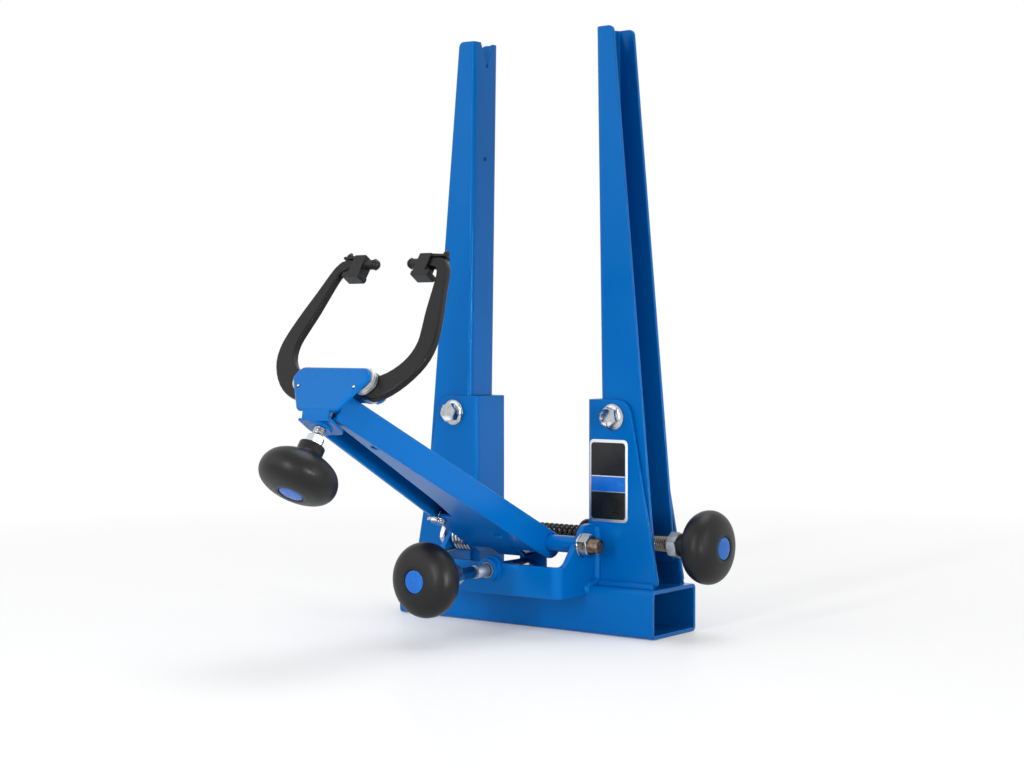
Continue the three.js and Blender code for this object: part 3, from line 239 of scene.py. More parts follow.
# %% [markdown]
# ## Materials
# Every material has the same plan: a Principled shader whose constants are set on its own sockets, a colour that
# moves between two tones under a mask, a roughness that changes slowly, and a Bump node for a fine relief. So one
# helper makes them all. Paint and plastic take their relief from the skin group, and metal from its streaks.

# %% Material helpers
def finish(name, tones, gloss, bump, skin=None, mask=None, **constants):
    """A material. gloss is (scale, smooth, dull), bump (strength, distance) and skin (scale, grain)."""
    material = bpy.data.materials.new(f"{name}_finish")
    material.use_nodes = True
    tree = material.node_tree

    def placed(group, labels, sizes):
        return add(tree, "ShaderNodeGroup", node_tree=group, **dict(zip(labels, sizes)))

    worn = placed(handling if skin else drawn_metal, ("Scale", "Smooth", "Dull"), gloss)
    grained = placed(cured_skin, ("Scale", "Grain"), skin) if skin else worn
    spots = pick(worn, "Mask")
    dark, light = (paint_value(*tone) for tone in tones)
    colour = add(tree, "ShaderNodeMix", data_type="RGBA", A=dark, B=light,
                 Factor=mask(tree, spots) if mask else spots)
    relief = add(tree, "ShaderNodeBump", Strength=bump[0], Distance=bump[1], Height=pick(grained, "Height"))
    feed(tree.nodes["Principled BSDF"], Base_Color=colour, Roughness=pick(worn, "Roughness"), Normal=relief,
         **constants)
    print("material:", material.name)
    return material

# %% [markdown]
# ### Blue powder paint
# The sheet metal is blasted, sprayed with blue powder and baked. The colour is deep and even, with a smooth gloss.
# Its reflections stay low and take the pigment's blue, so the paint keeps its strength in a white studio.

# %% Blue powder paint
blue_paint = finish(
    "blue_paint", [(0, 95, 171), (0, 98, 175)], gloss=(14.0, 0.15, 0.21), bump=(0.05, 0.0003),
    skin=(700.0, 0.25), IOR=1.5, Specular_IOR_Level=0.38, Specular_Tint=(0.14, 0.5, 1.0, 1))

# %% [markdown]
# ### Zinc plate
# Bolts and nuts are zinc plated: bright, slightly blue white, with soft blooms of gloss. On turned pieces fine
# tool marks scatter the reflections, so a satin zinc covers the spacers, bush, sleeve and large jam nut.

# %% Zinc plate
zinc_plate = finish("zinc_plate", [(172, 176, 180), (192, 194, 195)], gloss=(420.0, 0.12, 0.19),
                    bump=(0.04, 0.0002), Metallic=1.0)
satin_zinc = finish("satin_zinc", [(182, 186, 188), (206, 208, 208)], gloss=(700.0, 0.4, 0.5),
                    bump=(0.1, 0.0002), Metallic=1.0)

# %% [markdown]
# ### Bare steel
# The pivot rod's ends are unplated, darker and warmer than zinc, with brown traces of oil. The spread screw is bare
# too.
# Its thread's roots are painted near-black as painted shade, so the thread reads as lines, and its crests keep the
# steel's light tone. The distance from the screw's own line tells crest from root.

# %% Bare steel
spread_y, spread_z = 3.3, 71
thread_root, thread_rise = 5.1, 0.8


def polished_crests(tree, mask):
    """The metal's mask, strong on the spread screw's crests and fading to nothing in its roots. This paints shade
    into the thread's roots.
    """
    place = add(tree, "ShaderNodeSeparateXYZ", Vector=metres(tree))
    behind, above = pick(place, "Y") - spread_y * mm, pick(place, "Z") - spread_z * mm
    radius = calc("SQRT", behind * behind + above * above)
    return ((radius - thread_root * mm) / (thread_rise * mm)).clamped() * (mask * 0.35 + 0.65)


bare_steel = finish("bare_steel", [(66, 53, 44), (126, 112, 99)], gloss=(600.0, 0.26, 0.5),
                    bump=(0.2, 0.0002), Metallic=0.9)
# painted shade: the dark tone fills the spread screw's thread roots, and the light tone lies on its crests
root_shaded_steel = finish("root_shaded_steel", [(30, 27, 24), (158, 150, 142)], gloss=(500.0, 0.24, 0.42),
                     bump=(0.1, 0.0002), mask=polished_crests, Metallic=0.9)

# %% [markdown]
# ### Black steel and black plastic
# The jaws, the spread spring and its nuts are blackened steel, a satin near-black with a fine even grain. The
# knobs and the jaw tips are moulded. Their skin is a shade lighter and takes broad, milky highlights.

# %% Black finishes
black_steel = finish("black_steel", [(13, 13, 14), (19, 19, 20)], gloss=(35.0, 0.3, 0.38),
                     bump=(0.18, 0.0002), skin=(1500.0, 0.6), IOR=1.5, Specular_IOR_Level=0.22)
black_plastic = finish("black_plastic", [(19, 19, 20), (26, 26, 27)], gloss=(28.0, 0.34, 0.44),
                       bump=(0.10, 0.0002), skin=(1100.0, 0.5), IOR=1.5, Specular_IOR_Level=0.26)

# %% [markdown]
# ### Blue cap and label
# Each knob carries a small domed blue cap, and a label with a metal border sits on the front. Both are thin
# lacquered or printed films without any mark, each one colour with a very fine skin.

# %% Cap and label materials
def film(name, tones, smooth, dull, metallic=0.0):
    return finish(name, tones, gloss=(60.0, smooth, dull), bump=(0.05, 0.0001), skin=(2200.0, 0.3),
                  Metallic=metallic, Specular_IOR_Level=0.3)


blue_cap = film("blue_cap", [(8, 92, 182), (16, 104, 196)], 0.2, 0.3)
label_black = film("label_face", [(13, 14, 16), (19, 20, 22)], 0.22, 0.34)
label_metal = film("label_border", [(200, 203, 207), (208, 210, 214)], 0.34, 0.38, 1.0)

# %% [markdown]
# ## Pieces
# One helper finishes every piece: it links the object, gives it its material, hides the nodes of the frame that it
# stands for, and lets it ride on its body. All pieces keep their place in their mesh.

# %% Piece helpers
triangles = {}
both = (("right", 1), ("left", -1))  # the sides and their directions along X


def linked(name, data):
    piece = bpy.data.objects.new(name, data)
    bpy.context.collection.objects.link(piece)
    return piece


def finish_piece(name, mesh, material, body, stands_for=()):
    """Links a mesh as a piece that rides on a body."""
    piece = linked(name, mesh)
    mesh.materials.clear()
    mesh.materials.append(material)
    mesh.name = name
    if stands_for:
        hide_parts(*stands_for)
    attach(piece, body)
    triangles[name] = sum(len(p.vertices) - 2 for p in mesh.polygons)


def plain_mesh(piece):
    """The piece's mesh with its modifiers worked in. The piece itself is removed."""
    graph = bpy.context.evaluated_depsgraph_get()
    mesh = bpy.data.meshes.new_from_object(piece.evaluated_get(graph), depsgraph=graph)
    bpy.data.objects.remove(piece)
    return mesh


def opened(*meshes):
    """One editable shape from the faces of one or more meshes."""
    shape = bmesh.new()
    for mesh in meshes:
        shape.from_mesh(mesh)
    return shape


def settled(shape, mesh, sharp_degrees):
    """Writes a shape into a mesh that is shaded smooth, but for its sharp corners."""
    shape.to_mesh(mesh)
    shape.free()
    mesh.shade_smooth()
    mesh.set_sharp_from_angle(angle=radians(sharp_degrees))
    return mesh


def joined(*meshes):
    return settled(opened(*meshes), bpy.data.meshes.new("joined"), 40)


def closed_outwards(mesh, near=0.001):
    """The mesh without doubled points or edges, with all its faces turned outwards."""
    shape = opened(mesh)
    bmesh.ops.remove_doubles(shape, verts=shape.verts, dist=near * mm)
    bmesh.ops.dissolve_degenerate(shape, edges=shape.edges, dist=near * mm)
    bmesh.ops.recalc_face_normals(shape, faces=shape.faces)
    return settled(shape, mesh, 50)


def both_sides(*patterns):
    """Names for the right and then the left side."""
    return [pattern.format(side) for side in ("right", "left") for pattern in patterns]


print("piece helpers ready")

# %% [markdown]
# ### Softened sheet metal
# The brackets, arms and plates are folded sheet. The frame has their bends and holes, but its cut edges are
# perfectly sharp, and no painted edge is. A copy is merged, its flat faces are joined, and a Bevel modifier rounds
# each sharp edge. Weighted normals keep the broad faces flat. The yoke's edges meet at tight corners, so it gets
# one segment less.

# %% Dress a sheet-metal node
def dressed(node, radius, segments):
    """A copy of a node's mesh with its sharp edges rounded."""
    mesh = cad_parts[node].data.copy()
    loose = opened(mesh)
    bmesh.ops.remove_doubles(loose, verts=loose.verts, dist=0.002 * mm)
    bmesh.ops.dissolve_limit(loose, angle_limit=radians(0.6), verts=loose.verts, edges=loose.edges)
    loose.to_mesh(mesh)
    loose.free()
    mesh.shade_smooth()
    work = linked("work", mesh)
    feed(work.modifiers.new("edge", "BEVEL"), limit_method="ANGLE", angle_limit=radians(32), width=radius * mm,
         segments=segments, use_clamp_overlap=False, harden_normals=True)
    work.modifiers.new("normals", "WEIGHTED_NORMAL").keep_sharp = True
    return plain_mesh(work)


def dress(node, radius, material, body, segments=3):
    """Replaces a node by its dressed copy. The radius is in millimetres."""
    finish_piece(f"{node}_dressed", dressed(node, radius, segments), material, body, [node])


dress("base_tube", 0.8, blue_paint, "stand")
dress("pivot_yoke", 0.7, blue_paint, "stand", segments=2)
for side in ("right", "left"):
    dress(f"bracket_{side}", 0.75, blue_paint, "stand")
    dress(f"upright_{side}", 0.7, blue_paint, f"upright_{side}_body")
for node, radius in (("lift_arm", 0.7), ("head_front_plate", 0.6), ("head_rear_plate", 0.6)):
    dress(node, radius, blue_paint, "lift_arm_body")
dress("spring_anchor", 0.35, zinc_plate, "lift_arm_body")
print("sheet metal:", sum(triangles.values()), "triangles")

# %% [markdown]
# ### Jaws and tips
# The curved jaws are cut from thick flat steel and tumbled, so their edges are rounder than the sheet metal's.
# The moulded tips at their ends are softened the same way.

# %% Jaws and tips
for side in ("right", "left"):
    dress(f"jaw_{side}", 1.5, black_steel, f"jaw_{side}_body")
    dress(f"jaw_tip_{side}", 0.4, black_plastic, f"jaw_{side}_body")
print("jaws:", triangles["jaw_right_dressed"], "triangles each")

# %% [markdown]
# ## Turned pieces
# A lathe makes anything round from one outline: here a list of rings, each with a radius and a place along the
# axis, in millimetres. A ring may also be six-sided, and its height may change round it, which cuts the curved
# chamfers on a hexagon's corners.

# %% Lathe
origin_frame = Matrix.Identity(4)


def axis_frame(origin, direction, spin=0.0):
    """A matrix that takes a lathe's Z axis to a direction in the stand, turned round it by some degrees."""
    turn = Vector(direction).to_track_quat("Z", "Y").to_matrix().to_4x4()
    return Matrix.Translation(Vector(origin) * mm) @ turn @ Matrix.Rotation(radians(spin), 4, "Z")


def hexagon_radius(flats, angle):
    """Distance from the middle of a hexagon to its side, at an angle."""
    return flats / 2 / cos((angle + pi / 6) % (pi / 3) - pi / 6)


def skinned(rings, sharp_degrees, closed=False, capped=False):
    """A mesh over rings of points. A ring of one point ends it, and so do flat caps."""
    shape = bmesh.new()
    rings = [[shape.verts.new(point) for point in ring] for ring in rings]
    sides = max(map(len, rings))
    for low, high in zip(rings, rings[1:] + rings[:1] if closed else rings[1:]):
        for step in range(sides):
            after = (step + 1) % sides
            corners = list(dict.fromkeys((low[step % len(low)], low[after % len(low)],
                                          high[after % len(high)], high[step % len(high)])))
            if len(corners) > 2:
                shape.faces.new(corners)
    if capped:
        shape.faces.new(rings[0])
        shape.faces.new(rings[-1][::-1])
    bmesh.ops.recalc_face_normals(shape, faces=shape.faces)
    return settled(shape, bpy.data.meshes.new("skinned"), sharp_degrees)


def turn_rings(outline, sides, place=origin_frame):
    """A mesh from rings. Each is (radius, along), or a function of the angle that gives both. An outline that
    starts off the axis closes on itself."""
    rings = []
    for entry in outline:
        pole = not callable(entry) and entry[0] == 0
        ring = []
        for step in range(1 if pole else sides):
            angle = 2 * pi * step / sides
            radius, along = entry(angle) if callable(entry) else entry
            ring.append(place @ Vector((radius * mm * cos(angle), radius * mm * sin(angle), along * mm)))
        rings.append(ring)
    return skinned(rings, 35, closed=outline[0][0] != 0)


print("hexagon corner:", round(hexagon_radius(19, 0), 2), "mm for 19 mm flats")

# %% [markdown]
# ### Knobs
# The three knobs have the same mushroom head, with a shallow recess for the cap. Only the neck starts further in
# or out, where each screw's jam nut ends. A few points, as shares of the head's size, and a smooth spline give
# the head its full curve.

# %% Knob outline
knob_radius, knob_length, neck_radius, neck_length = 28.9, 44, 9.6, 12
face_radius, face_depth, bore_radius, bore_depth = 9.3, 1.3, 5.2, 18
head_shares = [(0.43, 0.05), (0.61, 0.09), (0.84, 0.22), (0.956, 0.37), (1, 0.53),
               (0.976, 0.69), (0.87, 0.83), (0.68, 0.93), (0.45, 0.985)]


def smooth_through(points, steps):
    """A Catmull-Rom spline through points in a plane."""
    ends = [points[0]] + list(points) + [points[-1]]
    result = []
    for a, b, c, d in zip(ends, ends[1:], ends[2:], ends[3:]):
        for step in range(steps):
            t = step / steps
            result.append(tuple(
                0.5 * (2 * q + (r - p) * t + (2 * p - 5 * q + 4 * r - s) * t * t + (3 * q - p - 3 * r + s) * t ** 3)
                for p, q, r, s in zip(a, b, c, d)))
    return result + [tuple(points[-1])]


def knob_outline(start):
    """The rings of a knob whose neck starts at a place along its own length."""
    head = [(neck_radius, neck_length - 1.5), (neck_radius + 0.9, neck_length)] + [
        (r * knob_radius, neck_length + s * (knob_length - neck_length)) for r, s in head_shares]
    curve = [(min(r, knob_radius), min(k, knob_length - 0.02)) for r, k in smooth_through(head, 5)]
    return [(0, bore_depth), (bore_radius, bore_depth), (bore_radius, start + 0.6), (bore_radius + 0.6, start),
            (neck_radius - 0.8, start), (neck_radius - 0.25, start + 0.25), (neck_radius, start + 0.8),
            (neck_radius, start + 4), *curve, (face_radius + 0.5, knob_length - 0.05),
            (face_radius + 0.15, knob_length - 0.2), (face_radius, knob_length - 0.5),
            (face_radius, knob_length - face_depth), (0, knob_length - face_depth)]


knob_rings = {"spread": knob_outline(5.2), "lift": knob_outline(0), "jaw": knob_outline(3.6)}
print("knob outline:", len(knob_rings["jaw"]), "rings")

# %% Knobs and caps
head_lean = radians(34)
head_up = Vector((0, sin(head_lean), cos(head_lean)))
head_back = Vector((0, cos(head_lean), -sin(head_lean)))
head_origin = Vector((0, -246.44, 199.705))
lift_z = 49.8
knob_places = {
    "spread": ((127.3, spread_y, spread_z), (1, 0, 0), "spread_screw_body"),
    "lift": ((0, -121, lift_z), (0, -1, 0), "lift_knob_body"),
    "jaw": (tuple(head_origin - 46.6 * head_up), tuple(-head_up), "jaw_knob_body"),
}
cap_rings = [(0, 42.9), (8.7, 42.9), (8.75, 43.2), (8.65, 43.45), (8.3, 43.6), (7.8, 43.68), (5.8, 43.86),
             (3, 43.98), (0, 44.0)]
for name, (origin, direction, body) in knob_places.items():
    place = axis_frame(origin, direction)
    knob, cap = turn_rings(knob_rings[name], 112, place), turn_rings(cap_rings, 64, place)
    finish_piece(f"{name}_knob_turned", knob, black_plastic, body, [f"{name}_knob"])
    finish_piece(f"{name}_knob_cap_domed", cap, blue_cap, body, [f"{name}_knob_cap"])
print("knobs:", triangles["spread_knob_turned"], "triangles each")

# %% [markdown]
# ## Threads by Geometry Nodes
# A thread follows a rule: as it goes once round, it moves along by one pitch. A flat grid can be rolled up by
# that rule. Each row of the grid becomes one line of the thread, a wave of the row number gives crest and root,
# and the ends are cut to a chamfer. One tree with named inputs makes all the screws.

# %% Geometry Nodes helpers
def growing(name, build, **inputs):
    """A tree with named inputs. build works out its shape. Realize Instances and Set Material end it."""
    tree = bpy.data.node_groups.new(name, "GeometryNodeTree")
    kinds = {float: "Float", int: "Int"}
    for label, value in {"Geometry": "Geometry", **inputs, "Material": "Material"}.items():
        kind = kinds.get(type(value), value)
        socket = tree.interface.new_socket(label, in_out="INPUT", socket_type=f"NodeSocket{kind}")
        if kind != value:
            socket.default_value = value
    tree.interface.new_socket("Geometry", in_out="OUTPUT", socket_type="NodeSocketGeometry")
    given = add(tree, "NodeGroupInput")
    shape = build(tree, *(pick(given, label) for label in ("Geometry", *inputs)))
    real = add(tree, "GeometryNodeRealizeInstances", Geometry=shape)
    coat = add(tree, "GeometryNodeSetMaterial", Geometry=real, Material=pick(given, "Material"))
    add(tree, "NodeGroupOutput", Geometry=coat)
    print(f"{name} tree:", len(tree.nodes), "nodes")
    return tree


def grow(base, tree, **values):
    """Runs a tree on a mesh or curve and returns the plain mesh that it makes."""
    work = linked("work", base)
    modifier = work.modifiers.new("grow", "NODES")
    modifier.node_group = tree
    sockets = {s.name: s.identifier for s in tree.interface.items_tree if s.in_out == "INPUT"}
    for label, value in values.items():
        modifier[sockets[label]] = value
    return plain_mesh(work)

# %% Thread tree
rows_per_pitch = 6
grid_edge = 0.4999  # past it, the grid's first and last row close the bar's ends


def rolled_thread(tree, _, crest, depth, pitch, hand, first, last, rows, sides):
    grid = add(tree, "GeometryNodeMeshGrid", Size_X=1, Size_Y=1, Vertices_X=sides, Vertices_Y=rows)
    place = add(tree, "ShaderNodeSeparateXYZ", Vector=add(tree, "GeometryNodeInputPosition"))
    around = pick(place, "X") + 0.5
    turns = (pick(place, "Y") + 0.5) * (rows - 1) / rows_per_pitch
    free = (turns + (around * hand - 1.0)) * pitch + first
    along = calc("MINIMUM", calc("MAXIMUM", free, first), last)
    cut = ((calc("PINGPONG", turns, 0.5) * 2.0 - 0.2) * 1.65).clamped()
    chamfer = crest - depth * 1.2 + calc("MINIMUM", along - first, last - along)
    inside = calc("LESS_THAN", calc("ABSOLUTE", pick(place, "Y")), grid_edge)
    radius = calc("MINIMUM", crest - cut * depth, chamfer) * inside
    angle = around * (2 * pi)
    spot = add(tree, "ShaderNodeCombineXYZ", X=radius * calc("COSINE", angle), Y=radius * calc("SINE", angle),
               Z=along)
    rolled = add(tree, "GeometryNodeSetPosition", Geometry=grid, Position=spot)
    return add(tree, "GeometryNodeMergeByDistance", Geometry=rolled, Distance=0.004 * mm)


thread_tree = growing("cut_thread", rolled_thread, Crest=0.006, Depth=0.001, Pitch=0.002, Hand=1.0,
                      From=0.0, To=0.1, Rows=60, Sides=28)


def threaded_bar(material, place, crest, depth, pitch, start, stop, hand=1.0, sides=28):
    """A closed threaded bar from start to stop along its own axis, all in millimetres."""
    rows = int(((stop - start) / pitch + 2) * rows_per_pitch) + 1
    mesh = grow(bpy.data.meshes.new("blank"), thread_tree, Crest=crest * mm, Depth=depth * mm, Pitch=pitch * mm,
                Hand=hand, From=start * mm, To=stop * mm, Rows=rows, Sides=sides + 1, Material=material)
    mesh.transform(place)
    return closed_outwards(mesh, 0.002)

# %% [markdown]
# ### The three screws
# The spread screw has a right-hand thread on one half and a left-hand thread on the other, so its nuts move apart
# together. The lift screw is threaded only where it leaves its bush, and pushes the arm with a plain cone. The
# jaw screw ends in a spool that holds the tails of both jaws.

# %% Screws
spread_line = axis_frame((0, spread_y, spread_z), (1, 0, 0))
lift_line = axis_frame((0, 0, lift_z), (0, -1, 0))
jaw_line = axis_frame(tuple(head_origin), tuple(-head_up))
spread_thread = 6.1, 1.2, 1.954  # crest, depth and pitch
spread_parts = joined(
    threaded_bar(root_shaded_steel, spread_line, *spread_thread, 14, 147),
    threaded_bar(root_shaded_steel, spread_line, *spread_thread, -96, -14, hand=-1.0),
    turn_rings([(0, -16), (5.0, -16), (5.0, 16), (0, 16)], 32, spread_line))
finish_piece("spread_screw_threaded", spread_parts, root_shaded_steel, "spread_screw_body", ["spread_screw"])
lift_parts = joined(
    threaded_bar(zinc_plate, lift_line, 5.2, 0.7, 1.5, 64, 75),
    turn_rings([(0, 74.5), (4.3, 74.5), (4.7, 75), (4.7, 140.2), (4.3, 140.6), (0, 140.6)], 48, lift_line),
    turn_rings([(0, 15.2), (1.6, 15.2), (2.2, 15.5), (4.4, 19.6), (4.7, 20.3), (4.9, 21), (5.0, 22), (5.0, 64),
                (4.6, 64.5), (0, 64.5)], 48, lift_line))
finish_piece("lift_screw_threaded", lift_parts, zinc_plate, "lift_screw_body", ["lift_screw"])
jaw_parts = joined(
    threaded_bar(zinc_plate, jaw_line, 4.1, 0.6, 1.5, 6.4, 66),
    turn_rings([(0, -6.5), (7.9, -6.5), (8.4, -6.1), (8.4, -4.7), (8.0, -4.3), (3.2, -4.3), (3.2, 4.3), (8.0, 4.3),
                (8.4, 4.7), (8.4, 6.1), (7.9, 6.5), (0, 6.5)], 48, jaw_line))
finish_piece("jaw_screw_threaded", jaw_parts, zinc_plate, "jaw_screw_body", ["jaw_screw"])
print("screws:", [triangles[n] for n in triangles if n.endswith("threaded")], "triangles")

# %% [markdown]
# ## Springs by Geometry Nodes
# A spring is one wire that follows a path. The path is worked out as points, and a Curve to Mesh node sweeps a
# round outline along it and closes both ends.

# %% Wire tree
wire_sides = 14


def swept_wire(tree, path, wire, sides):
    outline = add(tree, "GeometryNodeCurvePrimitiveCircle", Radius=wire, Resolution=sides)
    swept = add(tree, "GeometryNodeCurveToMesh", Curve=path, Profile_Curve=outline, Fill_Caps=True)
    return add(tree, "GeometryNodeSetShadeSmooth", Geometry=swept)


wire_tree = growing("drawn_wire", swept_wire, Wire=0.0012, Sides=wire_sides)


def path_curve(points):
    """A curve of straight steps through points in millimetres."""
    curve = bpy.data.curves.new("path", "CURVE")
    curve.dimensions = "3D"
    spline = curve.splines.new("POLY")
    spline.points.add(len(points) - 1)
    for slot, (x, y, z) in zip(spline.points, points):
        slot.co = (x * mm, y * mm, z * mm, 1)
    return curve


def wire_along(points, wire, material):
    """A closed round wire along points in millimetres."""
    return closed_outwards(grow(path_curve(points), wire_tree, Wire=wire / 2 * mm, Sides=wire_sides,
                                Material=material))


def coil(radius, start, stop, turns, middle_y, middle_z, first_angle, steps=28):
    """Points of a coil round a line along X."""
    count = round(turns * steps)
    points = []
    for i in range(count + 1):
        angle = first_angle + 2 * pi * turns * i / count
        points.append((start + (stop - start) * i / count,
                       middle_y + radius * cos(angle), middle_z + radius * sin(angle)))
    return points

# %% [markdown]
# ### Spread spring
# The black spring pushes the two nuts apart. Its two halves meet in the middle, and each is built in its place as a
# piece of its own.

# %% Spread spring
spring_end, spring_turns = 39.45, 16
spring_points = coil(9, -spring_end, spring_end, spring_turns, spread_y, spread_z, 0)
middle = len(spring_points) // 2
halves = {"left": spring_points[:middle + 1], "right": spring_points[middle:]}
for side, points in halves.items():
    reach = 0.0407 if side == "right" else -0.0407
    piece = linked(f"spread_spring_{side}", wire_along(points, 2.5, black_steel))
    if side == "right":
        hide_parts("spread_spring")
    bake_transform(piece)
print("spread spring:", spring_turns, "turns")

# %% [markdown]
# ### Return spring
# A torsion spring sits on the pivot rod beside the arm's left wall. One leg lies on the yoke, the other hooks
# under the arm's edge.

# %% Return spring
arm_angle = radians(27.35)
rod_y, rod_z = -38, 70.5


def on_arm(across, along, above):
    """A point given in the arm's own directions, from its pivot, as a point in the stand."""
    c, s = cos(arm_angle), sin(arm_angle)
    return (across, rod_y - along * c + above * s, rod_z + along * s + above * c)


def softened(points, share=0.32):
    """The same path with its corners cut twice, as a bent wire has."""
    for _ in range(2):
        result = [points[0]]
        for a, b in zip(points, points[1:]):
            result.append(tuple(p + (q - p) * share for p, q in zip(a, b)))
            result.append(tuple(q - (q - p) * share for p, q in zip(a, b)))
        points = result + [points[-1]]
    return points


coil_turns = 5 + (pi - arm_angle) / (2 * pi)
coil_start = -58
coil_end = coil_start + 5 * 3.5
coil_points = coil(10.6, coil_start, coil_end, coil_turns, rod_y, rod_z, -pi / 2, steps=30)
lower_leg = [(coil_start, -70, 56.9), (coil_start, -43.3, 59.9)]
upper_leg = [on_arm(coil_end, 5.3, 10.6), on_arm(-33.1, 70.8, -13.9), on_arm(-30.5, 73.4, -13.9),
             on_arm(-28.0, 73.4, -13.9)]
spring_path = (softened(lower_leg + coil_points[:1])[:-1] + coil_points
               + softened(coil_points[-1:] + upper_leg)[1:])
return_spring = linked("return_spring_wound", wire_along(spring_path, 2.6, zinc_plate))
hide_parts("return_spring")
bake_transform(return_spring)
print("return spring:", round(coil_turns, 2), "turns")

# %% [markdown]
# ## Nuts and bolts by Geometry Nodes
# A fastener is turned once and then placed wherever the stand has one. Single points carry their turn as an
# attribute, and Instance on Points puts a copy on each.

# %% Placing tree
def placed_copies(tree, points, copy):
    source = add(tree, "GeometryNodeObjectInfo", Object=copy)
    turn = add(tree, "GeometryNodeInputNamedAttribute", data_type="FLOAT_VECTOR", Name="turn")
    rotation = add(tree, "FunctionNodeEulerToRotation", Euler=turn)
    return add(tree, "GeometryNodeInstanceOnPoints", Points=points, Instance=pick(source, "Geometry"),
               Rotation=rotation)


placing_tree = growing("placed_copies", placed_copies, Copy="Object")


def place_copies(name, mesh, places, material, body, stands_for):
    """One piece of copies of a mesh made at the origin, one for each placing matrix."""
    points = bpy.data.meshes.new("places")
    points.from_pydata([tuple(place.translation) for place in places], [], [])
    turns = points.attributes.new("turn", "FLOAT_VECTOR", "POINT")
    for turn, place in zip(turns.data, places):
        turn.vector = tuple(place.to_euler())
    master = bpy.data.objects.new("master", mesh)
    result = grow(points, placing_tree, Copy=master, Material=material)
    bpy.data.objects.remove(master)
    result.set_sharp_from_angle(angle=radians(35))
    finish_piece(name, result, material, body, stands_for)

# %% [markdown]
# ### Hexagons
# A hexagon nut or head is a ring list too. Its side ends at a height that drops at the corners, where the chamfer
# cone cuts them, so each flat ends in the arc that a real nut shows.

# %% Hexagon outlines
hexagon_sides = 60


def side_ring(flats, along, chamfer=0.0):
    """A hexagonal ring. With a chamfer, the ring bends away from its height at the corners."""
    def ring(angle):
        radius = hexagon_radius(flats, angle)
        return radius, along - chamfer * (radius - flats / 2 * 0.985)
    return ring


def nut_mesh(flats, height, bore, foot=0.0, washer=None, lead=0.7):
    """A nut on Z from foot to foot + height, with chamfered corners and a bore, and a washer face if given."""
    top = foot + height
    face = flats / 2 * 0.965
    rings = [(bore, foot + lead), (bore + lead, foot)]
    if washer:
        radius, thick = washer
        rings += [(radius - 0.3, foot), (radius, foot + 0.3), (radius, foot + thick - 0.3),
                  (radius - 0.3, foot + thick), (flats / 2 * 0.99, foot + thick),
                  side_ring(flats, foot + thick + 0.05)]
    else:
        rings += [(face, foot), side_ring(flats, foot + 0.12, -0.5)]
    rings += [side_ring(flats, top - 0.12, 0.5), (face, top), ((face + bore + lead) / 2, top), (bore + lead, top),
              (bore, top - lead)]
    return turn_rings(rings, hexagon_sides)


def flange_bolt_mesh(shank):
    """A flanged hexagon bolt. Its seat is at Z 0 and its head stands up along Z."""
    rings = [(0, -shank), (3.9, -shank), (4.7, -shank + 0.8), (4.7, 0), (10.2, 0), (10.6, 0.3), (10.5, 0.8),
             (9.6, 1.5), (8.6, 2.0), (7.9, 2.2), side_ring(14.3, 2.35), side_ring(14.3, 8.15, 0.55), (6.8, 8.4),
             (6.3, 8.36), (5.6, 8.1), (0, 8.0)]
    return turn_rings(rings, hexagon_sides)


print("bolt:", len(flange_bolt_mesh(14).polygons), "faces")

# %% [markdown]
# ### Fasteners in their places
# Four flanged bolts carry the uprights and screw into nuts welded inside them, which are painted and lean with
# them. No two bolt heads stop at the same turn on a real stand, so each one has its own spin.

# %% Bolts and nuts on the stand
hinge_x, hinge_z = 80.5, 170.8
bolt_shank = (40.2 - 32.2) / 2 + 3 + 7 + 0.3  # from the bracket's face through the upright's wall and its nut
upright_lean = radians(0.965)
bolt_places = []
for x, turn in ((hinge_x, 12), (-hinge_x, 40)):
    bolt_places += [axis_frame((x, -17.1, hinge_z), (0, -1, 0), turn),
                    axis_frame((x, 23.7, hinge_z), (0, 1, 0), turn + 25)]
place_copies("hinge_bolts", flange_bolt_mesh(bolt_shank), bolt_places, zinc_plate, "stand",
             both_sides("hinge_bolt_{}_front", "hinge_bolt_{}_rear"))
for side, sign, height, turn in (("right", 1, 9.5, 8), ("left", -1, 5.3, 21)):
    rod_nut = nut_mesh(17, height, 6.6, washer=(9.6, 1.6))
    rod_nut.transform(axis_frame((65.95 * sign, rod_y, rod_z), (sign, 0, 0), turn))
    finish_piece(f"rod_nut_{side}_cut", rod_nut, zinc_plate, "stand", [f"rod_nut_{side}"])
for side, sign in both:
    middle = Matrix.Translation(Vector((hinge_x * sign, spread_y, hinge_z)) * mm)
    lean = middle @ Matrix.Rotation(-upright_lean * sign, 4, "Y")
    places = [lean @ axis_frame((0, -12.8, 0), (0, 1, 0)), lean @ axis_frame((0, 12.8, 0), (0, -1, 0))]
    place_copies(f"weld_nuts_{side}", nut_mesh(15.5, 6.9, 5.0), places, blue_paint, f"upright_{side}_body",
                 [f"weld_nut_{side}_front", f"weld_nut_{side}_rear"])
print("stand's bolts:", triangles["hinge_bolts"], "triangles")

# %% Nuts on the screws
end_nut = nut_mesh(19, 5.8, 6.3, foot=-91.05, washer=(12.4, 1.5))
for name, nut, line, turn, material, body in (
        ("spread_jam_nut", nut_mesh(19, 8.6, 6.3, 123.6), spread_line, 14, satin_zinc, "spread_screw_body"),
        ("spread_end_nut", end_nut, spread_line, 0, zinc_plate, "spread_screw_body"),
        ("lift_jam_nut", nut_mesh(16, 6.8, 5.5, 113.8), lift_line, 10, zinc_plate, "lift_knob_body"),
        ("jaw_jam_nut", nut_mesh(11.6, 6.9, 4.4, 43.2, lead=0.3), jaw_line, 24, zinc_plate, "jaw_knob_body")):
    nut.transform(line @ Matrix.Rotation(radians(turn), 4, "Z"))
    finish_piece(f"{name}_cut", nut, material, body, [name])
print("jam nuts:", triangles["jaw_jam_nut_cut"], "triangles")

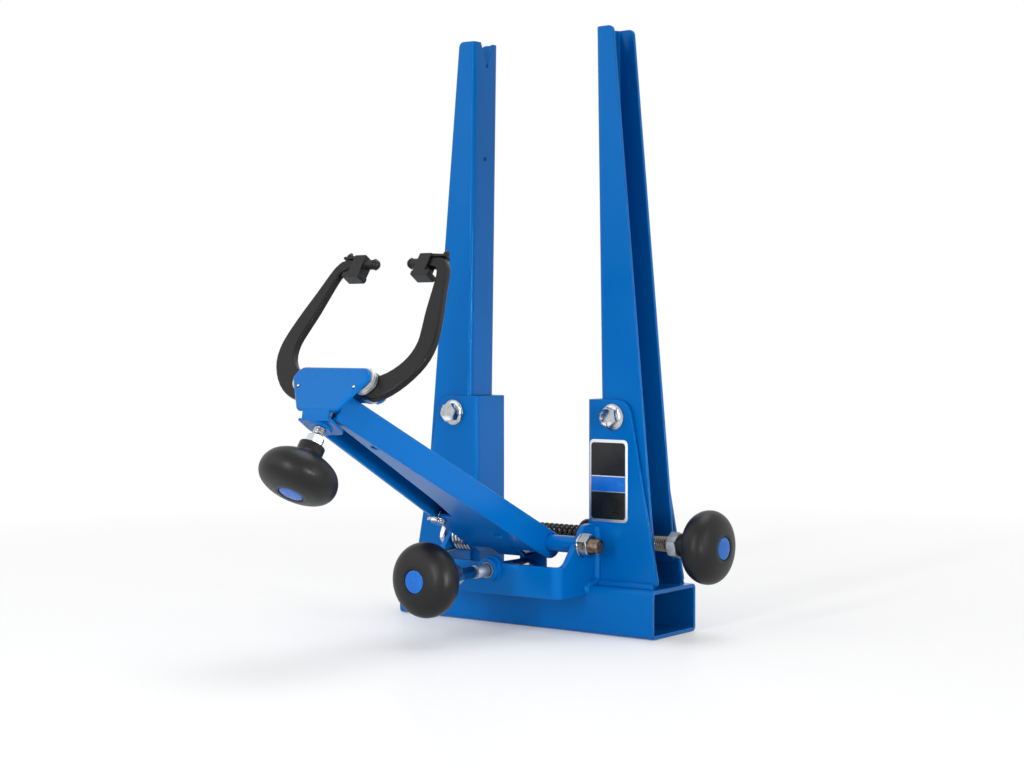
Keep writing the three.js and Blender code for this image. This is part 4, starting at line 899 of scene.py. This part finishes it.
# %% [markdown]
# ### Spread nuts and collars
# Each upright is caught between a nut and a collar. They are turned, and their rocking faces are slightly domed
# so that the upright can tilt on them.

# %% Spread nuts and collars
spread_nut_rings = [
    (6.4, 41.6), (7.0, 41.0), (15.2, 41.0), (15.6, 41.4), (15.6, 43.6), (15.2, 44.0), (11.4, 44.0), (11.0, 44.4),
    (11.0, 64.5), (12.6, 64.6), (12.9, 64.9), (12.6, 65.6), (10.6, 66.5), (8.8, 66.9), (8.5, 67.2), (8.5, 75.8),
    (8.1, 76.15), (6.9, 76.15), (6.4, 75.7)]
spread_collar_rings = [(8.8, 71.6), (9.4, 71.3), (11.4, 72.6), (12.5, 73.4), (12.6, 73.8), (12.6, 75.7),
                       (12.2, 76.15), (9.3, 76.15), (8.8, 75.8)]
for side, sign in both:
    line = axis_frame((0, spread_y, spread_z), (sign, 0, 0))
    for name, rings in ((f"spread_nut_{side}", spread_nut_rings), (f"spread_collar_{side}", spread_collar_rings)):
        finish_piece(f"{name}_turned", turn_rings(rings, 56, line), black_steel, f"spread_nut_{side}_body", [name])
print("spread nuts:", triangles["spread_nut_right_turned"], "triangles each")

# %% [markdown]
# ### Pivot rod, lift bush and sleeve
# The lift arm swings on a painted rod, whose bare threaded ends stand proud of their nuts. The lift screw runs in
# a plated bush that ends flush with the yoke's ring, with a short sleeve in front of it.

# %% Pivot rod, bush and sleeve
rod_line = axis_frame((0, rod_y, rod_z), (1, 0, 0))
rod_body = turn_rings([(0, -65.5), (6.7, -65.5), (6.7, 65.5), (0, 65.5)], 40, rod_line)
finish_piece("pivot_rod_painted", rod_body, blue_paint, "stand", ["pivot_rod"])
rod_ends = joined(threaded_bar(bare_steel, rod_line, 6.3, 0.9, 1.9, 60, 83.4),
                  threaded_bar(bare_steel, rod_line, 6.3, 0.9, 1.9, -72, -60))
finish_piece("pivot_rod_ends", rod_ends, bare_steel, "stand")
bush = turn_rings([(5.5, 62.6), (5.9, 62.0), (6.3, 62.2), (6.3, 75.6), (6.1, 75.9), (5.8, 75.9), (5.5, 75.6)], 48,
                  lift_line)
finish_piece("lift_bush_turned", bush, satin_zinc, "stand", ["lift_bush"])
sleeve = turn_rings([(4.5, 77.0), (4.8, 76.6), (5.1, 77.2), (5.2, 78.0), (5.2, 90.4), (5.0, 90.8), (4.5, 90.8)], 48,
                    lift_line)
finish_piece("lift_sleeve_turned", sleeve, satin_zinc, "lift_screw_body")
print("pivot rod ends:", triangles["pivot_rod_ends"], "triangles")

# %% [markdown]
# ## Weld beads by Geometry Nodes
# The brackets and the yoke are welded to the tube before painting. A bead is a rope of frozen ripples, half sunk
# in its corner. The tree walks along the joint in small steps, sweeps a round outline, and pushes it in and out
# with a wave and a little noise. Both ends are pinched to a point.

# %% Bead tree
def rippled_bead(tree, path, size, ripple, pitch):
    def stored(name):
        return pick(add(tree, "GeometryNodeInputNamedAttribute", data_type="FLOAT", Name=name))

    walk = add(tree, "GeometryNodeResampleCurve", mode="LENGTH", Curve=path, Length=0.5 * mm)
    travelled = pick(add(tree, "GeometryNodeSplineParameter"), "Length")
    left = pick(add(tree, "GeometryNodeSplineLength")) - travelled
    for name, value in (("along", travelled), ("near", calc("MINIMUM", travelled, left))):
        walk = add(tree, "GeometryNodeStoreNamedAttribute", data_type="FLOAT", Geometry=walk, Name=name, Value=value)
    outline = add(tree, "GeometryNodeCurvePrimitiveCircle", Radius=size, Resolution=16)
    swept = add(tree, "GeometryNodeCurveToMesh", Curve=walk, Profile_Curve=outline, Fill_Caps=True)
    rough = (noise(tree, add(tree, "GeometryNodeInputPosition"), 300.0) - 0.5) * 3.0
    swell = (calc("SINE", stored("along") / pitch * (2 * pi)) + rough) * ripple
    short = 1.0 - (stored("near") / size).clamped()
    push = (swell + size) * calc("SQRT", 1.0 - short * short) - size
    offset = add(tree, "ShaderNodeVectorMath", operation="SCALE", Vector=add(tree, "GeometryNodeInputNormal"),
                 Scale=push)
    pushed = add(tree, "GeometryNodeSetPosition", Geometry=swept, Offset=offset)
    whole = add(tree, "GeometryNodeMergeByDistance", Geometry=pushed, Distance=0.02 * mm)
    return add(tree, "GeometryNodeSetShadeSmooth", Geometry=whole)


bead_tree = growing("weld_bead", rippled_bead, Size=0.0026, Ripple=0.00007, Pitch=0.0018)

# %% Weld beads
bead_radius = 3.4
joint_front, joint_rear, joint_foot, joint_side, joint_end = -17.7, 23.9, 38.4, 66.2, 121
bead_paths = [
    [(joint_side + 1, joint_front, joint_foot), (joint_end, joint_front, joint_foot)],
    [(joint_side, joint_front, 84.5), (joint_side, joint_front, 41)],
    softened([(joint_side, joint_front, 44), (joint_side, joint_front - 1, joint_foot),
              (joint_side, -32.4, joint_foot), (joint_side, -32.2, 31.5)]),
    [(57, joint_rear, joint_foot), (joint_end, joint_rear, joint_foot)],
]
for side, sign in both:
    curves = [path_curve([(x * sign, y, z) for x, y, z in path]) for path in bead_paths]
    beads = joined(*[closed_outwards(grow(curve, bead_tree, Size=bead_radius * mm, Material=blue_paint))
                     for curve in curves])
    finish_piece(f"weld_beads_{side}", beads, blue_paint, "stand")
print("weld beads:", triangles["weld_beads_right"], "triangles each side")

# %% [markdown]
# ### Jaw pivots
# Each jaw turns on a stud between two satin spacers, and a nut closes the stack behind the rear plate. A real
# spacer is a thin washer against a thick one, so each is a thin ring, a narrow gap and a thick ring.

# %% Jaw pivots
pivot_x = 28.3


def head_point(across, back, up):
    """A point given in the head's own directions as a point in the stand, in millimetres."""
    return tuple(head_origin + Vector((across, 0, 0)) + back * head_back + up * head_up)


def washer(bore, radius, start, stop, cut=0.3):
    """A washer with small round edges."""
    rings = [(bore, start + cut), (bore + cut, start), (radius - cut, start), (radius, start + cut),
             (radius, stop - cut), (radius - cut, stop), (bore + cut, stop), (bore, stop - cut)]
    return turn_rings(rings, 56)


pivot_places = [axis_frame(head_point(x, 0, 0), tuple(head_back)) for x in (pivot_x, -pivot_x)]
rivet_places = [axis_frame(head_point(x, -12, -8.2), tuple(-head_back)) for x in (26.6, -26.6)]
stud = turn_rings([(0, -8.6), (3.8, -8.6), (4.15, -8.2), (4.15, 15.4), (3.5, 16.1), (0, 16.1)], 32)
stack = joined(*[washer(4.5, radius, a, b) for radius, a, b in (
    (9.9, -8.65, -7.9), (8.4, -7.9, -7.2), (9.95, -7.2, -3.35),
    (9.95, 3.35, 5.6), (8.9, 5.6, 6.1), (9.9, 6.1, 8.65))])
rivet = turn_rings([(0, 0), (1.2, 0), (1.15, 0.25), (0.9, 0.5), (0.5, 0.64), (0, 0.68)], 20)
place_copies("jaw_studs", stud, pivot_places, zinc_plate, "lift_arm_body", both_sides("jaw_stud_{}"))
place_copies("jaw_spacers", stack, pivot_places, satin_zinc, "lift_arm_body",
             both_sides("jaw_spacer_{}_front", "jaw_spacer_{}_rear"))
place_copies("jaw_nuts", nut_mesh(11, 3.2, 4.45, foot=12.35), pivot_places, zinc_plate, "lift_arm_body",
             both_sides("jaw_nut_{}"))
place_copies("head_rivets", rivet, rivet_places, zinc_plate, "lift_arm_body", both_sides("head_rivet_{}"))
print("jaw pivots:", triangles["jaw_spacers"], "triangles")

# %% [markdown]
# ### Thumb screws
# A small pointed screw locks each tip on its jaw. The ribs of its foot are a ring whose radius waves.

# %% Thumb screws
def ribbed(radius, depth, along, count=14):
    """A ring whose radius waves round it, for the grip of a small screw."""
    return lambda angle: (radius - depth * (0.5 - 0.5 * cos(count * angle)), along)


thumb = turn_rings([(0, 112.85), (1.9, 112.85), ribbed(2.2, 0.15, 113.0), ribbed(2.4, 0.25, 113.3),
                    ribbed(2.4, 0.25, 114.7), ribbed(2.1, 0.15, 115.3), (1.3, 117.0), (0.8, 117.6), (0, 117.75)],
                   84)
for side, sign in both:
    turned_head = thumb.copy()
    turned_head.transform(axis_frame(head_point(46.8 * sign, 0, 0), tuple(head_up)))
    finish_piece(f"tip_screw_{side}_ribbed", turned_head, black_plastic, f"jaw_{side}_body", [f"tip_screw_{side}"])
print("thumb screws:", triangles["tip_screw_right_ribbed"], "triangles each")

# %% [markdown]
# ## Floor and background
# The floor is a pale sheet that keeps the stand's soft shadow. A faint glow lifts it to white for the camera, so
# the lamps can stay at a plain level. Near the stand it shades like paint with a very slight gloss, and further
# out it turns into plain white, so it has no edge. The world is white in view and dimmer as light on the stand.

# %% Floor
floor_glow, fade_start, fade_length = 0.19, 0.4, 0.7
floor_half, floor_drop = 6, 0.0002


def seen_rays(tree):
    """1 for the rays that show the background: from the camera, a mirror or a glass."""
    path = add(tree, "ShaderNodeLightPath")
    seen = calc("MAXIMUM", pick(path, "Is Camera Ray"), pick(path, "Is Glossy Ray"))
    return calc("MAXIMUM", seen, pick(path, "Is Transmission Ray"))


def make_floor():
    material = bpy.data.materials.new("pale_floor")
    material.use_nodes = True
    tree = material.node_tree
    tree.nodes.clear()
    matte = add(tree, "ShaderNodeBsdfDiffuse", Color=(0.8, 0.8, 0.8, 1))
    gloss = add(tree, "ShaderNodeBsdfGlossy", Roughness=0.16)
    shine = add(tree, "ShaderNodeMixShader", Fac=0.05, Shader=matte, Shader_001=gloss)
    seen = seen_rays(tree)
    glow = add(tree, "ShaderNodeEmission", Strength=seen * floor_glow)
    lit = add(tree, "ShaderNodeAddShader", Shader=shine, Shader_001=glow)
    reach = pick(add(tree, "ShaderNodeVectorMath", operation="LENGTH", Vector=metres(tree)), "Value")
    away = ((reach - fade_start) / fade_length).clamped()
    fade = add(tree, "ShaderNodeMixShader", Fac=away * seen, Shader=lit, Shader_001=add(tree, "ShaderNodeEmission"))
    add(tree, "ShaderNodeOutputMaterial", Surface=fade)
    return material


floor_mesh = bpy.data.meshes.new("floor")
corners = [(x * floor_half, y * floor_half, -floor_drop) for x, y in ((-1, -1), (1, -1), (1, 1), (-1, 1))]
floor_mesh.from_pydata(corners, [], [(0, 1, 2, 3)])
floor_mesh.materials.append(make_floor())
linked("floor", floor_mesh)
print("floor glow:", floor_glow)

# %% World
world_light = 0.55
world = bpy.data.worlds.new("studio")
bpy.context.scene.world = world
world.use_nodes = True
feed(world.node_tree.nodes["Background"], Color=(1, 1, 1, 1),
     Strength=seen_rays(world.node_tree) * (1 - world_light) + world_light)
print("world:", world_light, "on the stand, 1 in view")

# %% [markdown]
# ## Lamps
# A large soft key from the left front and a broad lamp overhead shade the stand as a whole. Two tall narrow
# lamps, in front and at the side, draw a thin bright line down each bend. A small low lamp lights the knobs and
# the arm's underside, and a faint strip behind lifts the back edges. The camera sees none of them.

# %% Lamps
def softbox(name, location, target, size, watts, spread=180):
    """A rectangular lamp that looks at a point of the stand. Its spread is in degrees."""
    lamp = feed(bpy.data.lights.new(name, "AREA"), shape="RECTANGLE", size=size[0], size_y=size[1], energy=watts,
                spread=radians(spread))
    turn = (Vector(target) - Vector(location)).to_track_quat("-Z", "Y").to_euler()
    feed(linked(name, lamp), location=location, rotation_euler=turn, visible_camera=False)


softbox("key", (-1.25, -1.8, 1.25), (0, 0, 0.25), (1.8, 1.6), 9)
softbox("front", (0.1, -1.9, 0.55), (0, 0, 0.2), (0.12, 1.1), 12.5)
softbox("side", (2.0, 0.0, 0.6), (0, 0, 0.2), (0.12, 1.2), 5)
softbox("low", (1.3, -0.75, 0.2), (0.02, -0.17, 0.12), (0.3, 0.3), 0.26, spread=22)
softbox("kicker", (1.2, 1.6, 0.05), (0, -0.1, 0.1), (0.9, 0.09), 0.12)
softbox("top", (0.2, 0.5, 2.2), (0, 0, 0.2), (1.6, 1.2), 16)
bpy.context.scene.view_settings.view_transform = "Standard"

# %% [markdown]
# ## Label
# The label is a thin metal plate with rounded corners. A black panel and a blue band are printed inside its
# bright border, and it carries no words.

# %% Label
corner_steps = 8


def rounded_plate(x0, z0, x1, z1, corner, back, front):
    """A thin plate facing the front, with rounded corners and a soft front edge."""
    edge = (back - front) / 4
    middles = ((x1 - corner, z1 - corner), (x0 + corner, z1 - corner), (x0 + corner, z0 + corner),
               (x1 - corner, z0 + corner))
    rings = []
    for inset, y in ((0, back), (0, front + edge), (edge * 0.3, front + edge * 0.3), (edge, front)):
        radius = max(corner - inset, 0.2)
        ring = []
        for quarter, (x, z) in enumerate(middles):
            for step in range(corner_steps + 1):
                angle = radians(90 * quarter + 90 * step / corner_steps)
                ring.append(Vector((x + radius * cos(angle), y, z + radius * sin(angle))) * mm)
        rings.append(ring)
    return skinned(rings, 50, capped=True)


layers = (("label_border", (58.9, 87.7, 95.1, 153.1), 4, -17.1, -17.6, label_metal, "zinc_plate"),
          ("label_panel", (60.6, 90.0, 93.0, 150.6), 2.8, -17.5, -17.7, label_black, "label_face"),
          ("label_rules", (60.9, 111.4, 92.8, 124.4), 0.3, -17.6, -17.77, label_metal, "zinc_plate"),
          ("label_band", (60.9, 112.1, 92.8, 123.7), 0.3, -17.7, -17.85, blue_cap, "blue_cap"))
for name, edges, corner, back, front, material, slot in layers:
    stands_for = ["label_plate"] if name == "label_border" else ()
    finish_piece(name, rounded_plate(*edges, corner, back, front), material, "stand", stands_for)
print("label:", len(layers), "layers")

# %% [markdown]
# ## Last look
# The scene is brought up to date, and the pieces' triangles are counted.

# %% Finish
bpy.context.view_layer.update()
print("triangles:", sum(triangles.values()), "most:", max(triangles, key=triangles.get))
